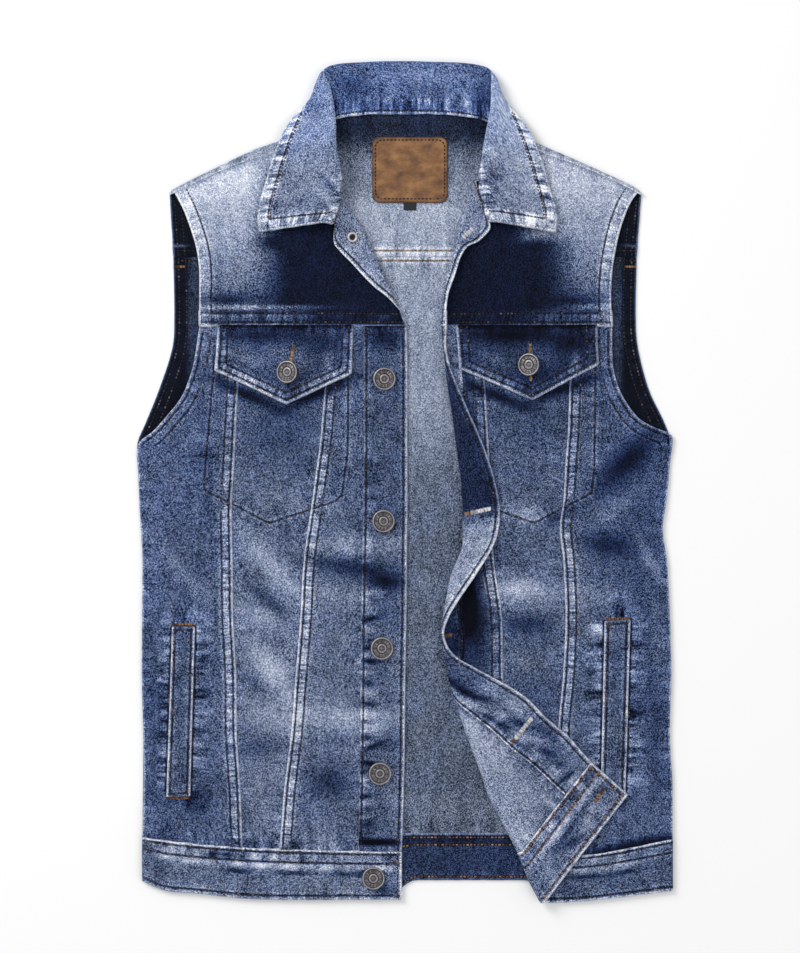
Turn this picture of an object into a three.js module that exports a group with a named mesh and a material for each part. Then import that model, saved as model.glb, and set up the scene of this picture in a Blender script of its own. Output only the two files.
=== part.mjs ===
// Denim vest, lying face up on its back with the wearer's left front edge folded open.
// Millimetres, +Z up, +Y towards the collar, the wearer's right at -X.
// Lengths up the garment are measured from the hem of the back, and the finished
// group is moved so that its origin is at the bottom centre of the whole vest.
import * as THREE from 'three';

// Thicknesses
const CLOTH = 1.4;
const SEAM_RIDGE = 1.0;
const DOUBLE_CLOTH = 2.3;
const GAP = 0.3;
const WAIST_GAP = 0.8;

// Heights at which the layers lie
const BACK_BASE = 0;
const FRONT_BASE = 2.6;
const SIDE_SEAM_BASE = 1.7;
const WAIST_SIDE_BASE = 2.4;
const SIDE_ROLL = 7;
const NECK_LIFT = { height: 2.8, fromY: 669, toY: 683, insideX: 84, outsideX: 100 };

// How the folded-back cloth lies: its slope down to the panels, the most that it sinks,
// and the distance over which its rows turn from the fold's direction into their own
const FOLD_SLOPE = 0.09;
const FRONT_SINK = 2.8;
const LAPEL_SINK = 1.5;
const ROW_EASE = 5;
const WAIST_ROLL = 4.6;

// Sizes across and along the pieces
const BAND_WIDTH = 10;
const SEAM_STEP = 1;
const HEM_SEAM = 25;
const HEM_EASE = 110;
const BACK_HEM_SEAM = 41;
const YOKE_SEAM = 498;
const BACK_YOKE_SEAM = 560;
const SHOULDER_RADIUS = 2;
const SHOULDER_GAP = 0.9;
const ORIGIN = [-0.03, 357.52];

// What lies on the panels
const FLAP_RISE = CLOTH + SEAM_RIDGE + GAP;
const WELT_RISE = CLOTH + GAP;
const PATCH = { left: -28.8, right: 37.8, low: 609, high: 667, corner: 7, thickness: 1.6 };
const TAB = { left: -0.9, right: 9.9, low: 602, high: 608.7, thickness: 0.8 };
const BUTTON = { radius: 10.2, rim: 0.9, height: 3.2, stud: 4.6, studHeight: 1.2, sides: 14 };
const FLAP_BUTTON_TILT = 0.4;
const COLLAR_HALF = 1.15;
const COLLAR_ROLL = 2.3;

// Small helpers
const mix = (a, b, t) => a + (b - a) * t;
const clamp = (x, low, high) => Math.min(high, Math.max(low, x));
const ease = (low, high, x) => {
  const t = clamp((x - low) / (high - low), 0, 1);
  return t * t * (3 - 2 * t);
};
const range = (count) => Array.from({ length: count }, (unused, i) => i);
const steps = (a, b, count) => range(count + 1).map((i) => mix(a, b, i / count));

// A table has named columns; its first column is the one that the others are read by.
// Values between two rows follow a smooth curve through all rows.
function table(columns, rows) {
  const names = columns.split(' ');
  const key = (i) => rows[i][0];
  const slope = (i, c) => {
    const a = Math.max(i - 1, 0);
    const b = Math.min(i + 1, rows.length - 1);
    return (rows[b][c] - rows[a][c]) / (key(b) - key(a));
  };
  return (name, x) => {
    const c = names.indexOf(name);
    const at = clamp(x, key(0), key(rows.length - 1));
    const i = clamp(rows.findIndex((row) => row[0] >= at) - 1, 0, rows.length - 2);
    const width = key(i + 1) - key(i);
    const t = (at - key(i)) / width;
    const rise = rows[i + 1][c] - rows[i][c];
    const a = slope(i, c) * width - rise;
    const b = rise - slope(i + 1, c) * width;
    return mix(rows[i][c], rows[i + 1][c], t) + t * (1 - t) * (a * (1 - t) + b * t);
  };
}

// Seams of the two fronts, as they lie. The side column turns into the armhole above y 392.
const RIGHT_SEAMS = table('y side outer inner placket edge', [
  [25, -235.6, -147.0, -111.9, -41.4, -3.6],
  [80, -234.2, -149.0, -107.7, -40.5, -1.8],
  [132, -235.0, -152.1, -101.5, -39.6, -0.9],
  [184, -236.3, -152.7, -97.4, -39.2, -0.5],
  [236, -236.0, -155.3, -93.2, -38.7, 0.5],
  [287, -235.8, -155.9, -90.2, -37.8, 0.9],
  [335, -238.2, -156.6, -83.4, -36.9, 1.4],
  [366, -239.6, -154.9, -79.2, -36.5, 1.4],
  [392, -239.2, -153.6, -75.6, -36.4, 1.4],
  [403, -225.9, -153.0, -74.5, -36.4, 1.4],
  [418, -212.6, -152.2, -73.3, -36.4, 1.4],
  [433, -200.9, -151.4, -72.0, -36.4, 1.4],
  [450, -193.5, -150.4, -70.4, -36.4, 1.4],
  [465, -189.3, -149.4, -68.6, -36.4, 1.4],
  [498, -184.2, -146.7, -63.9, -36.4, 0.9],
]);
const LEFT_SEAMS = table('y side outer inner', [
  [25, 240.0, 145.0, 110.0],
  [80, 240.0, 141.0, 98.0],
  [132, 237.6, 138.5, 91.0],
  [184, 239.0, 143.0, 87.2],
  [236, 237.8, 145.2, 86.3],
  [287, 235.0, 143.1, 79.2],
  [316, 231.3, 140.1, 77.6],
  [342, 234.9, 143.2, 76.6],
  [378, 238.0, 145.3, 75.0],
  [400, 238.9, 147.1, 73.8],
  [406, 224.7, 147.4, 73.5],
  [413, 211.5, 147.7, 73.1],
  [427, 199.8, 148.2, 72.3],
  [443, 191.4, 148.8, 71.3],
  [462, 186.5, 149.9, 70.0],
  [498, 185.7, 152.0, 67.0],
]);

// Upper edge of the waistband and the hem line below it, across the garment.
const WAIST_SEAM = table('x y', [
  [-236, 37.8], [-193, 32.4], [-145, 28.8], [-81, 26.4], [-4, 25], [101, 25], [160, 21.8], [240, 36],
]);
const HEM_LINE = table('x y', [
  [-236, -0.9], [-216, -9], [-190, -11.7], [-132, -17.1], [-4, -17.6], [121, -20.5], [173, -17.6], [240, -9.5],
]);

// The folded-back edge of the wearer's left front: where the fold lies, where the edge ends up
// and how much of the buttonhole band the roll leaves along the row.
const LEFT_FOLD = table('y foldX radius edgeX edgeY placket', [
  [25, 100.5, 4.6, 166.2, 106.0, 37],
  [48, 89.0, 4.6, 158.0, 115.0, 38],
  [71, 76.5, 4.6, 146.0, 128.5, 40],
  [97, 67.5, 4.6, 125.5, 146.0, 41],
  [119, 59.4, 4.6, 110.0, 162.0, 42],
  [144, 50.4, 4.6, 92.4, 173.7, 41],
  [164, 44.1, 4.6, 76.3, 182.5, 39],
  [179, 39.6, 4.4, 65.0, 188.6, 37],
  [200, 36.0, 4.2, 43.5, 202.0, 29],
  [220, 32.6, 4.0, 33.8, 220.0, 26],
  [238, 34.0, 4.2, 39.0, 237.0, 26],
  [257, 37.6, 4.4, 48.5, 253.0, 30],
  [273, 40.8, 4.4, 56.0, 264.0, 34],
  [285, 45.9, 4.4, 64.0, 276.0, 37],
  [299, 51.1, 4.4, 78.0, 298.8, 40],
  [316, 51.5, 4.4, 83.7, 318.0, 41],
  [332, 51.5, 4.4, 84.1, 335.0, 41],
  [357, 50.4, 4.4, 79.5, 360.0, 40],
  [383, 46.8, 4.4, 70.0, 389.0, 37],
  [418, 42.3, 4.2, 55.7, 422.0, 33],
  [452, 36.9, 4.0, 43.0, 452.0, 28],
  [476, 34.7, 3.8, 36.0, 476.0, 26],
  [498, 32.5, 3.6, 36.5, 498.0, 26],
]);
// The waistband's three lengthwise lines on the folded corner.
const LEFT_WAIST_FOLD = table('v foldX foldY edgeX edgeY', [
  [0, 100.9, 23.9, 166.9, 104.9],
  [0.5, 110.7, -0.5, 182.6, 91.4],
  [1, 121.5, -20.7, 199.2, 76.5],
]);

// The yokes: rows run from the armhole to the front edge or the neck, and climb towards
// the shoulder seam. turn is how far the lapel rolls over, in degrees.
const RIGHT_YOKE = table('row armX armY foldX foldY radius turn edgeX edgeY', [
  [0, -184.2, 498, 0.9, 498.0, 2.0, 0, 0.9, 498.0],
  [1, -184.2, 512, -2.8, 510.7, 2.0, 60, -3.0, 510.7],
  [2, -184.1, 530, -11.3, 525.3, 2.4, 180, -15.5, 523.5],
  [3, -184.2, 547, -17.7, 541.0, 3.6, 180, -27.0, 532.5],
  [4, -185.5, 560, -24.1, 555.7, 3.6, 180, -38.0, 543.5],
  [5, -188.0, 572, -30.6, 570.3, 3.6, 180, -48.0, 554.5],
  [6, -192.0, 585, -39.8, 588.7, 3.6, 180, -58.1, 564.8],
  [7, -197.0, 599, -50.0, 603.0, 3.6, 180, -63.6, 573.0],
  [8, -200.0, 606, -54.5, 611.0, 3.6, 180, -63.2, 588.0],
  [9, -202.5, 611, -58.5, 620.0, 3.6, 150, -62.0, 617.0],
  [10, -204.0, 614.5, -64.0, 632.0, 3.0, 0, -64.0, 632.0],
  [11, -205.3, 617, -74.0, 648.0, 3.0, 0, -74.0, 648.0],
  [12, -206.0, 619, -88.0, 660.0, 3.0, 0, -88.0, 660.0],
]);
const LEFT_YOKE = table('row armX armY foldX foldY radius turn edgeX edgeY', [
  [0, 185.7, 498, 32.5, 498.0, 3.6, 180, 36.8, 498.0],
  [1, 184.8, 512, 34.0, 512.0, 3.6, 160, 36.8, 512.0],
  [2, 184.5, 530, 35.8, 528.0, 3.6, 170, 40.0, 528.0],
  [3, 185.6, 547, 38.5, 545.0, 3.6, 180, 44.5, 543.5],
  [4, 187.5, 560, 42.5, 560.0, 3.6, 180, 49.5, 559.0],
  [5, 190.0, 573, 45.2, 573.0, 3.4, 180, 56.0, 569.0],
  [6, 193.0, 585, 48.0, 583.0, 3.2, 180, 66.0, 574.0],
  [7, 197.0, 597, 51.0, 596.0, 3.0, 180, 75.8, 584.5],
  [8, 200.0, 605, 55.0, 609.0, 3.0, 180, 74.6, 594.0],
  [9, 203.0, 611, 60.0, 621.5, 3.0, 180, 68.0, 612.0],
  [10, 205.0, 614.5, 66.6, 633.6, 3.0, 0, 66.6, 633.6],
  [11, 206.8, 617.5, 77.0, 648.0, 3.0, 0, 77.0, 648.0],
  [12, 208.0, 619.5, 88.0, 660.0, 3.0, 0, 88.0, 660.0],
]);
const YOKE_ROWS = 12;
const YOKE_BAND_ROW = 1;
const SHOULDER_SEAM = table('x y', [
  [-211.5, 615.3], [-197, 621.8], [-170.4, 634.6], [-135.9, 648], [-118.8, 653.3], [-100, 658], [-88, 660],
  [88, 660], [100, 657.8], [121.2, 654.8], [150.3, 643.8], [184.9, 629.5], [196.1, 624], [212.3, 615.3],
]);

// The back: side seam and armhole at the sides, the seams of the centre panel,
// and the fold over which the yoke turns to the shoulder seam.
const BACK_SIDES = table('y right left', [
  [41, -235.7, 240.0],
  [132, -235.0, 237.6],
  [236, -236.0, 237.8],
  [287, -235.8, 235.0],
  [316, -237.0, 231.3],
  [366, -239.6, 237.0],
  [392, -240.2, 238.8],
  [410, -233.0, 233.1],
  [440, -220.9, 219.0],
  [478, -208.8, 209.0],
  [505, -207.0, 207.0],
  [560, -207.9, 207.9],
]);
const BACK_PANEL = { hemHalf: 126, yokeHalf: 142 };
const BACK_WAISTBAND = 2;
// Between these the back's hem is straight, where the fronts leave it open.
const OPEN_HEM = { y: 0, left: [-20, 10], right: [110, 135] };
const BACK_SHOULDER = table('x foldY turn startX', [
  [-211.5, 619.2, 180, -207.9],
  [-197.0, 626.8, 180, -194.0],
  [-170.0, 640.0, 180, -168.0],
  [-136.0, 656.0, 180, -135.0],
  [-115.0, 663.5, 180, -114.0],
  [-98.0, 670.6, 150, -97.5],
  [-89.0, 674.6, 40, -88.8],
  [-80.0, 680.0, 0, -80.0],
  [-64.0, 688.0, 0, -64.0],
  [-36.0, 692.0, 0, -36.0],
  [0.0, 692.0, 0, 0.0],
  [36.0, 692.0, 0, 36.0],
  [66.0, 688.0, 0, 66.0],
  [82.0, 680.0, 0, 82.0],
  [90.0, 674.6, 40, 89.8],
  [99.0, 670.6, 150, 98.5],
  [118.6, 662.1, 180, 117.6],
  [150.5, 648.4, 180, 149.0],
  [184.9, 632.9, 180, 182.0],
  [204.0, 623.8, 180, 201.0],
  [212.3, 618.0, 180, 207.9],
]);

// Large soft folds of the front: middle, direction in degrees, half length, half width, height.
const FOLDS = [
  { x: -112, y: 205, angle: 68, length: 95, width: 17, height: 1.7 },
  { x: -78, y: 300, angle: 80, length: 70, width: 14, height: 1.3 },
  { x: -195, y: 330, angle: -48, length: 55, width: 13, height: 1.5 },
  { x: -196, y: 120, angle: 60, length: 60, width: 15, height: 1.1 },
  { x: 200, y: 335, angle: 52, length: 62, width: 13, height: 1.7 },
  { x: 205, y: 262, angle: -55, length: 58, width: 13, height: 1.5 },
  { x: 116, y: 240, angle: 78, length: 60, width: 14, height: 1.4 },
  { x: 196, y: 120, angle: 70, length: 60, width: 15, height: 1.2 },
];

// Pocket flaps: their half widths and lower edge, from the yoke seam to the point.
const FLAPS = {
  right: {
    top: [-167.0, -47.3], corner: [-169.6, -49.1], cornerY: [458, 455], tip: [-106.7, 428.1], button: [-104.9, 456],
  },
  left: {
    top: [47.2, 171.5], corner: [49.8, 172.8], cornerY: [459.8, 463.5], tip: [114.3, 432], button: [111.6, 462.6],
  },
};

// Pocket welts: the two long edges, from top to bottom.
const WELTS = {
  right: { topA: [-208.8, 226.8], topB: [-189.4, 226.8], lowA: [-213.8, 74.7], lowB: [-193.5, 75.6] },
  left: { topA: [180.0, 231.8], topB: [202.1, 233.1], lowA: [176.4, 78.0], lowB: [197.5, 78.6] },
};

// Shank buttons of the button band and the waistband.
const BUTTONS = [
  ['button_1', -18.5, 450.0], ['button_2', -19.3, 322.2], ['button_3', -20.7, 207.9], ['button_4', -22.5, 95.4],
  ['button_waist', -28.4, 1.4],
];
// The top button is under the folded lapel; the back of its stud shows on the facing.
const TOP_BUTTON = [-47.1, 576.9];
const TOP_BUTTON_ROLL = 3.6;
const TOP_BUTTON_RADIUS = 9.2;
const TOP_BUTTON_HEIGHT = 2.2;

// The collar, from the wearer's right front end round the back of the neck to the left one.
// Each row is a section across it: neck seam, roll and outer edge.
const COLLAR = table('station neckX neckY neckZ rollX rollY rollZ edgeX edgeY edgeZ', [
  [-11, -65.0, 590.5, 11.8, -67.5, 590.0, 15.2, -130.0, 582.5, 7.4],
  [-10, -63.5, 603.0, 11.8, -60.0, 606.0, 16.0, -131.5, 598.0, 7.4],
  [-9, -62.0, 619.0, 11.2, -57.8, 624.0, 17.0, -127.0, 617.0, 7.4],
  [-8, -67.0, 634.0, 7.6, -58.7, 640.0, 17.8, -121.5, 636.0, 7.6],
  [-7, -76.0, 648.0, 6.4, -62.3, 658.8, 18.0, -115.2, 655.0, 8.0],
  [-6, -84.0, 656.5, 6.2, -62.8, 677.7, 16.5, -109.0, 670.0, 7.8],
  [-5, -87.0, 663.5, 6.2, -64.5, 694.8, 14.0, -103.0, 680.0, 6.6],
  [-4, -84.0, 671.0, 6.2, -68.5, 713.0, 10.5, -96.0, 688.0, 3.6],
  [-3, -77.0, 678.5, 6.0, -73.0, 725.0, 7.4, -87.0, 688.0, 1.6],
  [-2, -64.0, 684.0, 5.9, -62.0, 731.5, 5.4, -68.0, 684.0, 1.2],
  [-1, -36.0, 688.0, 5.9, -35.0, 733.8, 4.2, -36.0, 684.0, 1.2],
  [0, 0.0, 688.5, 5.9, 0.0, 734.6, 4.1, 0.0, 684.0, 1.2],
  [1, 36.0, 688.0, 5.9, 36.0, 733.8, 4.2, 36.0, 684.0, 1.2],
  [2, 66.0, 684.0, 5.9, 66.0, 731.2, 5.4, 71.0, 684.0, 1.2],
  [3, 78.0, 678.5, 6.0, 77.0, 725.5, 7.4, 88.0, 688.0, 1.6],
  [4, 86.0, 671.0, 6.2, 78.0, 711.9, 10.5, 98.0, 688.0, 3.6],
  [5, 89.0, 663.5, 6.2, 77.4, 693.0, 14.0, 106.0, 680.0, 6.6],
  [6, 87.0, 656.0, 6.2, 73.8, 673.0, 16.5, 113.0, 669.0, 7.8],
  [7, 79.0, 648.0, 6.4, 70.2, 652.0, 18.0, 120.5, 650.0, 8.0],
  [8, 70.0, 634.0, 7.6, 68.7, 636.3, 17.8, 125.6, 634.0, 7.6],
  [9, 68.5, 617.0, 10.5, 70.8, 618.5, 17.0, 130.5, 617.0, 7.4],
  [10, 73.0, 602.0, 11.0, 72.9, 603.0, 16.0, 135.0, 600.0, 7.4],
  [11, 76.0, 592.5, 11.0, 76.8, 591.5, 14.6, 134.5, 582.5, 7.4],
]);
const COLLAR_ENDS = 11;

// Height of the inner face of the front's lower layer.
function frontHeight(x, y) {
  let z = FRONT_BASE;
  for (const fold of FOLDS) {
    const a = (fold.angle * Math.PI) / 180;
    const along = ((x - fold.x) * Math.cos(a) + (y - fold.y) * Math.sin(a)) / fold.length;
    const across = ((y - fold.y) * Math.cos(a) - (x - fold.x) * Math.sin(a)) / fold.width;
    z += fold.height * Math.exp(-along * along - across * across);
  }
  const sideX = x < 0 ? RIGHT_SEAMS('side', y) : LEFT_SEAMS('side', y);
  const belowArm = 1 - ease(388, 410, y);
  const nearSide = 1 - ease(0, SIDE_ROLL, Math.abs(sideX) - Math.abs(x));
  return mix(z, mix(WAIST_SIDE_BASE, SIDE_SEAM_BASE, ease(44, 60, y)), belowArm * nearSide);
}

// Shift of the panels' lower ends, so that they follow the sloping waistband.
const waistShift = (x, y) => (WAIST_SEAM('y', x) - HEM_SEAM) * (1 - ease(HEM_SEAM, HEM_SEAM + HEM_EASE, y));

// One row of cloth that runs from root to the fold, rolls over it and lies back on itself.
// inward points from the fold into the garment. s is measured along the row from its free
// edge, and h from the face outside the roll to the one inside it.
function foldedRow({ root, fold, inward, radius, turn, edge, height, drop = 0, shift = () => 0 }) {
  const start = [fold[0] + inward[0] * radius, fold[1] + inward[1] * radius];
  const upright = Math.abs(inward[1]) > 0.99;
  const flat = upright ? Math.abs(start[1] - root[1]) : Math.abs(start[0] - root[0]);
  const lineY = (x) => mix(fold[1], root[1], (x - fold[0]) / (root[0] - fold[0]));
  const arc = radius * turn;
  const over = turn < Math.PI - 1e-6 ? [0, 0] : [edge[0] - start[0], edge[1] - start[1]];
  const top = Math.hypot(over[0], over[1]);
  const base = height(start[0], start[1]);
  const place = (s, h) => {
    if (s < top) {
      const t = (top - s) / top;
      const sink = Math.min(drop, FOLD_SLOPE * (top - s));
      return [start[0] + over[0] * t, start[1] + over[1] * t, base + 2 * radius - sink - h];
    }
    if (s < top + arc) {
      const angle = turn - (s - top) / radius;
      const out = (radius - h) * Math.sin(angle);
      const up = radius - (radius - h) * Math.cos(angle);
      return [start[0] - inward[0] * out, start[1] - inward[1] * out, base + up];
    }
    const t = (s - top - arc) / flat;
    const x = mix(start[0], root[0], t);
    if (upright) {
      const y = mix(start[1], root[1], t);
      return [x, y, height(x, y) + h];
    }
    const y = lineY(x) + (start[1] - lineY(start[0])) * (1 - ease(0, ROW_EASE, s - top - arc));
    return [x, y + shift(x, y), height(x, y) + h];
  };
  return { place, length: flat + arc + top, top, arc, start };
}

// Distances along a row, closer together where it rolls.
function spread(row, from, to, count, density = 5) {
  const weight = (s) => s + (density - 1) * clamp(s - row.top, 0, row.arc);
  const ends = [weight(from), weight(to)];
  return steps(ends[0], ends[1], count).map((w) => {
    if (w <= row.top) return w;
    const rolled = (w - row.top) / density;
    return rolled <= row.arc ? row.top + rolled : w - (density - 1) * row.arc;
  });
}

// Turns two grids of points, one for each face, into a closed wall.
function wall(name, material, under, over) {
  const rows = under.length;
  const columns = under[0].length;
  const positions = [...under.flat(2), ...over.flat(2)];
  const half = rows * columns;
  const index = [];
  const quad = (a, b, c, d) => index.push(a, b, c, a, c, d);
  for (let i = 0; i < rows - 1; i += 1) {
    for (let j = 0; j < columns - 1; j += 1) {
      const a = i * columns + j;
      const b = a + columns;
      quad(a, b, b + 1, a + 1);
      quad(half + a, half + a + 1, half + b + 1, half + b);
    }
  }
  for (let j = 0; j < columns - 1; j += 1) {
    const last = (rows - 1) * columns + j;
    quad(j, j + 1, half + j + 1, half + j);
    quad(last, half + last, half + last + 1, last + 1);
  }
  for (let i = 0; i < rows - 1; i += 1) {
    const a = i * columns;
    const b = a + columns;
    const c = a + columns - 1;
    const d = b + columns - 1;
    quad(a, half + a, half + b, b);
    quad(c, d, half + d, half + c);
  }
  const geometry = new THREE.BufferGeometry();
  geometry.setAttribute('position', new THREE.Float32BufferAttribute(positions, 3));
  geometry.setIndex(index);
  if (signedVolume(positions, index) < 0) {
    for (let i = 0; i < index.length; i += 3) [index[i], index[i + 1]] = [index[i + 1], index[i]];
    geometry.setIndex(index);
  }
  geometry.computeVertexNormals();
  const mesh = new THREE.Mesh(geometry, material);
  mesh.name = name;
  return mesh;
}

function signedVolume(positions, index) {
  const point = (i) => new THREE.Vector3().fromArray(positions, 3 * i);
  let volume = 0;
  for (let i = 0; i < index.length; i += 3) {
    volume += point(index[i]).dot(point(index[i + 1]).cross(point(index[i + 2])));
  }
  return volume;
}

// A wall from rows of distances: each entry is [row, distance, thickness].
function rowWall(name, material, grid) {
  const under = grid.map((line) => line.map(([row, s]) => row.place(s, 0)));
  const over = grid.map((line) => line.map(([row, s, h]) => row.place(s, h)));
  return wall(name, material, under, over);
}

const denim = new THREE.MeshStandardMaterial({ color: 0x4a5f8a, roughness: 0.9, metalness: 0 });
const faded = new THREE.MeshStandardMaterial({ color: 0x8492b4, roughness: 0.9, metalness: 0 });
const leather = new THREE.MeshStandardMaterial({ color: 0xa9713f, roughness: 0.7, metalness: 0 });
const ribbon = new THREE.MeshStandardMaterial({ color: 0x17181c, roughness: 0.8, metalness: 0 });
const nickel = new THREE.MeshStandardMaterial({ color: 0x8b8780, roughness: 0.35, metalness: 1 });

// Rows of the fronts
const radians = (degrees) => (degrees * Math.PI) / 180;
const normal = (dx, dy, side) => {
  const length = Math.hypot(dx, dy);
  return [(side * dy) / length, (-side * dx) / length];
};

// How far a roll of this radius has turned when the cloth's edge is this far behind the fold.
function rolled(fold, inward, radius, edge) {
  const behind = (edge[0] - fold[0]) * inward[0] + (edge[1] - fold[1]) * inward[1];
  return behind < radius ? Math.PI - Math.asin(clamp(1 - behind / radius, 0, 1)) : Math.PI;
}

// Direction across the left front's fold, into the garment.
function leftInward(y) {
  const at = clamp(y, HEM_SEAM + 4, YOKE_SEAM - 4);
  const slope = (LEFT_FOLD('foldX', at + 4) - LEFT_FOLD('foldX', at - 4)) / 8;
  return normal(slope * (1 - ease(YOKE_SEAM - 18, YOKE_SEAM - 1, y)), 1, 1);
}

function leftRow(y) {
  const fold = [LEFT_FOLD('foldX', y), y];
  const inward = leftInward(y);
  const radius = LEFT_FOLD('radius', y);
  const edge = [LEFT_FOLD('edgeX', y), LEFT_FOLD('edgeY', y)];
  const turn = rolled(fold, inward, radius, edge);
  const root = [LEFT_SEAMS('side', y), y];
  const lying = { height: frontHeight, drop: FRONT_SINK, shift: waistShift };
  return foldedRow({ root, fold, inward, radius, turn, edge, ...lying });
}

function leftWaistRow(v) {
  const fold = [LEFT_WAIST_FOLD('foldX', v), LEFT_WAIST_FOLD('foldY', v)];
  const inward = leftInward(HEM_SEAM);
  const edge = [LEFT_WAIST_FOLD('edgeX', v), LEFT_WAIST_FOLD('edgeY', v)];
  const root = [240, fold[1]];
  const shift = (x) => mix(WAIST_SEAM('y', x) - WAIST_GAP, HEM_LINE('y', x), v) - fold[1];
  const lying = { height: (x) => frontHeight(x, HEM_SEAM), drop: FRONT_SINK, shift };
  return foldedRow({ root, fold, inward, radius: WAIST_ROLL, turn: Math.PI, edge, ...lying });
}

// Height at x of the straight line from the armhole to the neck end of the shoulder seam.
function yokeTop(yoke, x) {
  const [armX, armY, neckX, neckY] = ['armX', 'armY', 'edgeX', 'edgeY'].map((part) => yoke(part, YOKE_ROWS));
  return mix(armY, neckY, (x - armX) / (neckX - armX));
}

function yokeRow(yoke, side, k) {
  const fold = [yoke('foldX', k), yoke('foldY', k)];
  const ahead = Math.min(k + 0.3, YOKE_ROWS);
  const behind = Math.max(k - 0.3, 0);
  const lean = ease(0, 1, k) * (yoke('foldX', ahead) - yoke('foldX', behind));
  const inward = normal(lean, yoke('foldY', ahead) - yoke('foldY', behind), side);
  const edge = [yoke('edgeX', k), yoke('edgeY', k)];
  const wanted = radians(clamp(yoke('turn', k), 0, 180));
  const radius = wanted < 0.02 ? 0 : yoke('radius', k);
  const turn = radius ? Math.min(wanted, rolled(fold, inward, radius, edge)) : 0;
  const root = [yoke('armX', k), yoke('armY', k)];
  const shift = (x) => (k / YOKE_ROWS) ** 2 * (SHOULDER_SEAM('y', x) - SHOULDER_GAP - yokeTop(yoke, x));
  return foldedRow({ root, fold, inward, radius, turn, edge, height: frontHeight, drop: LAPEL_SINK, shift });
}

function fronts() {
  const pieces = [];
  const top = YOKE_SEAM - GAP;
  const rightRows = [25, 60, 97, 144, 184, 236, 287, 335, 366, 392, 403, 418, 433, 450, 470, top];
  const leftRows = [25, 48, 71, 97, 119, 144, 164, 180, 200, 220, 238, 257, 273, 286,
    299, 316, 335, 357, 383, 400, 406, 414, 427, 443, 460, 478, top];

  // A flat piece between two seams. ridge says at which sides a raised seam band runs.
  const panel = (name, rows, left, right, ridge, count) => {
    const under = [];
    const over = [];
    for (const y of rows) {
      const a = left(y);
      const b = right(y);
      const sign = Math.sign(b - a);
      const columns = [];
      if (ridge.includes('a')) columns.push([a, 1], [a + sign * BAND_WIDTH, 1]);
      const from = ridge.includes('a') ? a + sign * (BAND_WIDTH + SEAM_STEP) : a;
      const to = ridge.includes('b') ? b - sign * (BAND_WIDTH + SEAM_STEP) : b;
      steps(from, to, count).forEach((x) => columns.push([x, 0]));
      if (ridge.includes('b')) columns.push([b - sign * BAND_WIDTH, 1], [b, 1]);
      const at = (x, h) => [x, y + waistShift(x, y), frontHeight(x, y) + h];
      under.push(columns.map(([x]) => at(x, 0)));
      over.push(columns.map(([x, up]) => at(x, CLOTH + up * SEAM_RIDGE)));
    }
    pieces.push(wall(name, denim, under, over));
  };
  const right = (column, offset = 0) => (y) => RIGHT_SEAMS(column, y) + offset;
  const left = (column, offset = 0) => (y) => LEFT_SEAMS(column, y) + offset;
  panel('front_side_panel_right', rightRows, right('side'), right('outer'), 'b', 5);
  panel('front_mid_panel_right', rightRows, right('outer', GAP), right('inner', -GAP), '', 4);
  panel('front_center_panel_right', rightRows, right('inner'), right('placket', -GAP), 'a', 3);
  panel('front_mid_panel_left', leftRows, left('outer', -GAP), left('inner', GAP), '', 4);
  panel('front_side_panel_left', leftRows, left('side'), left('outer'), 'b', 5);

  const placketRight = (h) => rightRows.map((y) => (
    steps(RIGHT_SEAMS('placket', y), RIGHT_SEAMS('edge', y), 3).map((x) => [
      x, y + waistShift(x, y), frontHeight(x, y) + h])));
  pieces.push(wall('placket_right', denim, placketRight(0), placketRight(DOUBLE_CLOTH)));

  const folded = leftRows.map(leftRow);
  const bands = leftRows.map((y) => LEFT_FOLD('placket', y));
  pieces.push(rowWall('placket_left', denim, folded.map((row, i) => (
    spread(row, 0, bands[i], 9).map((s) => [row, s, DOUBLE_CLOTH])))));
  pieces.push(rowWall('front_center_panel_left', denim, folded.map((row, i) => {
    const seam = row.top + row.arc + LEFT_SEAMS('inner', leftRows[i]) - row.start[0];
    const ridge = Math.min(BAND_WIDTH, seam - row.top - row.arc - 2 * SEAM_STEP);
    const cloth = spread(row, bands[i] + GAP, seam - ridge - SEAM_STEP, 12).map((s) => [row, s, CLOTH]);
    return [...cloth, [row, seam - ridge, CLOTH + SEAM_RIDGE], [row, seam, CLOTH + SEAM_RIDGE]];
  })));

  const waistRows = steps(0, 1, 2).map(leftWaistRow);
  pieces.push(rowWall('waistband_front_left', denim, waistRows.map((row) => (
    [...spread(row, 0, row.top + row.arc + 5, 15), ...steps(row.top + row.arc + 12, row.length, 6)]
      .map((s) => [row, s, DOUBLE_CLOTH])))));
  const waistRight = (h) => [0, 1].map((v) => (
    steps(RIGHT_SEAMS('side', HEM_SEAM), RIGHT_SEAMS('edge', HEM_SEAM), 8).map((x) => [
      x, mix(WAIST_SEAM('y', x) - WAIST_GAP, HEM_LINE('y', x), v), frontHeight(x, HEM_SEAM) + h])));
  pieces.push(wall('waistband_front_right', denim, waistRight(0), waistRight(DOUBLE_CLOTH)));

  for (const [name, yoke, side] of [['front_yoke_right', RIGHT_YOKE, -1], ['front_yoke_left', LEFT_YOKE, 1]]) {
    const keys = [0, YOKE_BAND_ROW, YOKE_BAND_ROW + 0.1, 2, 3, 4, 5, 6, 7, 8, 9, 9.5, 10, 11, YOKE_ROWS];
    pieces.push(rowWall(name, denim, keys.map((k) => {
      const row = yokeRow(yoke, side, k);
      const raised = (s) => k <= YOKE_BAND_ROW && s >= row.top + row.arc;
      return spread(row, 0, row.length, 15).map((s) => [row, s, raised(s) ? CLOTH + SEAM_RIDGE : CLOTH]);
    })));
  }
  return pieces;
}

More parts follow.
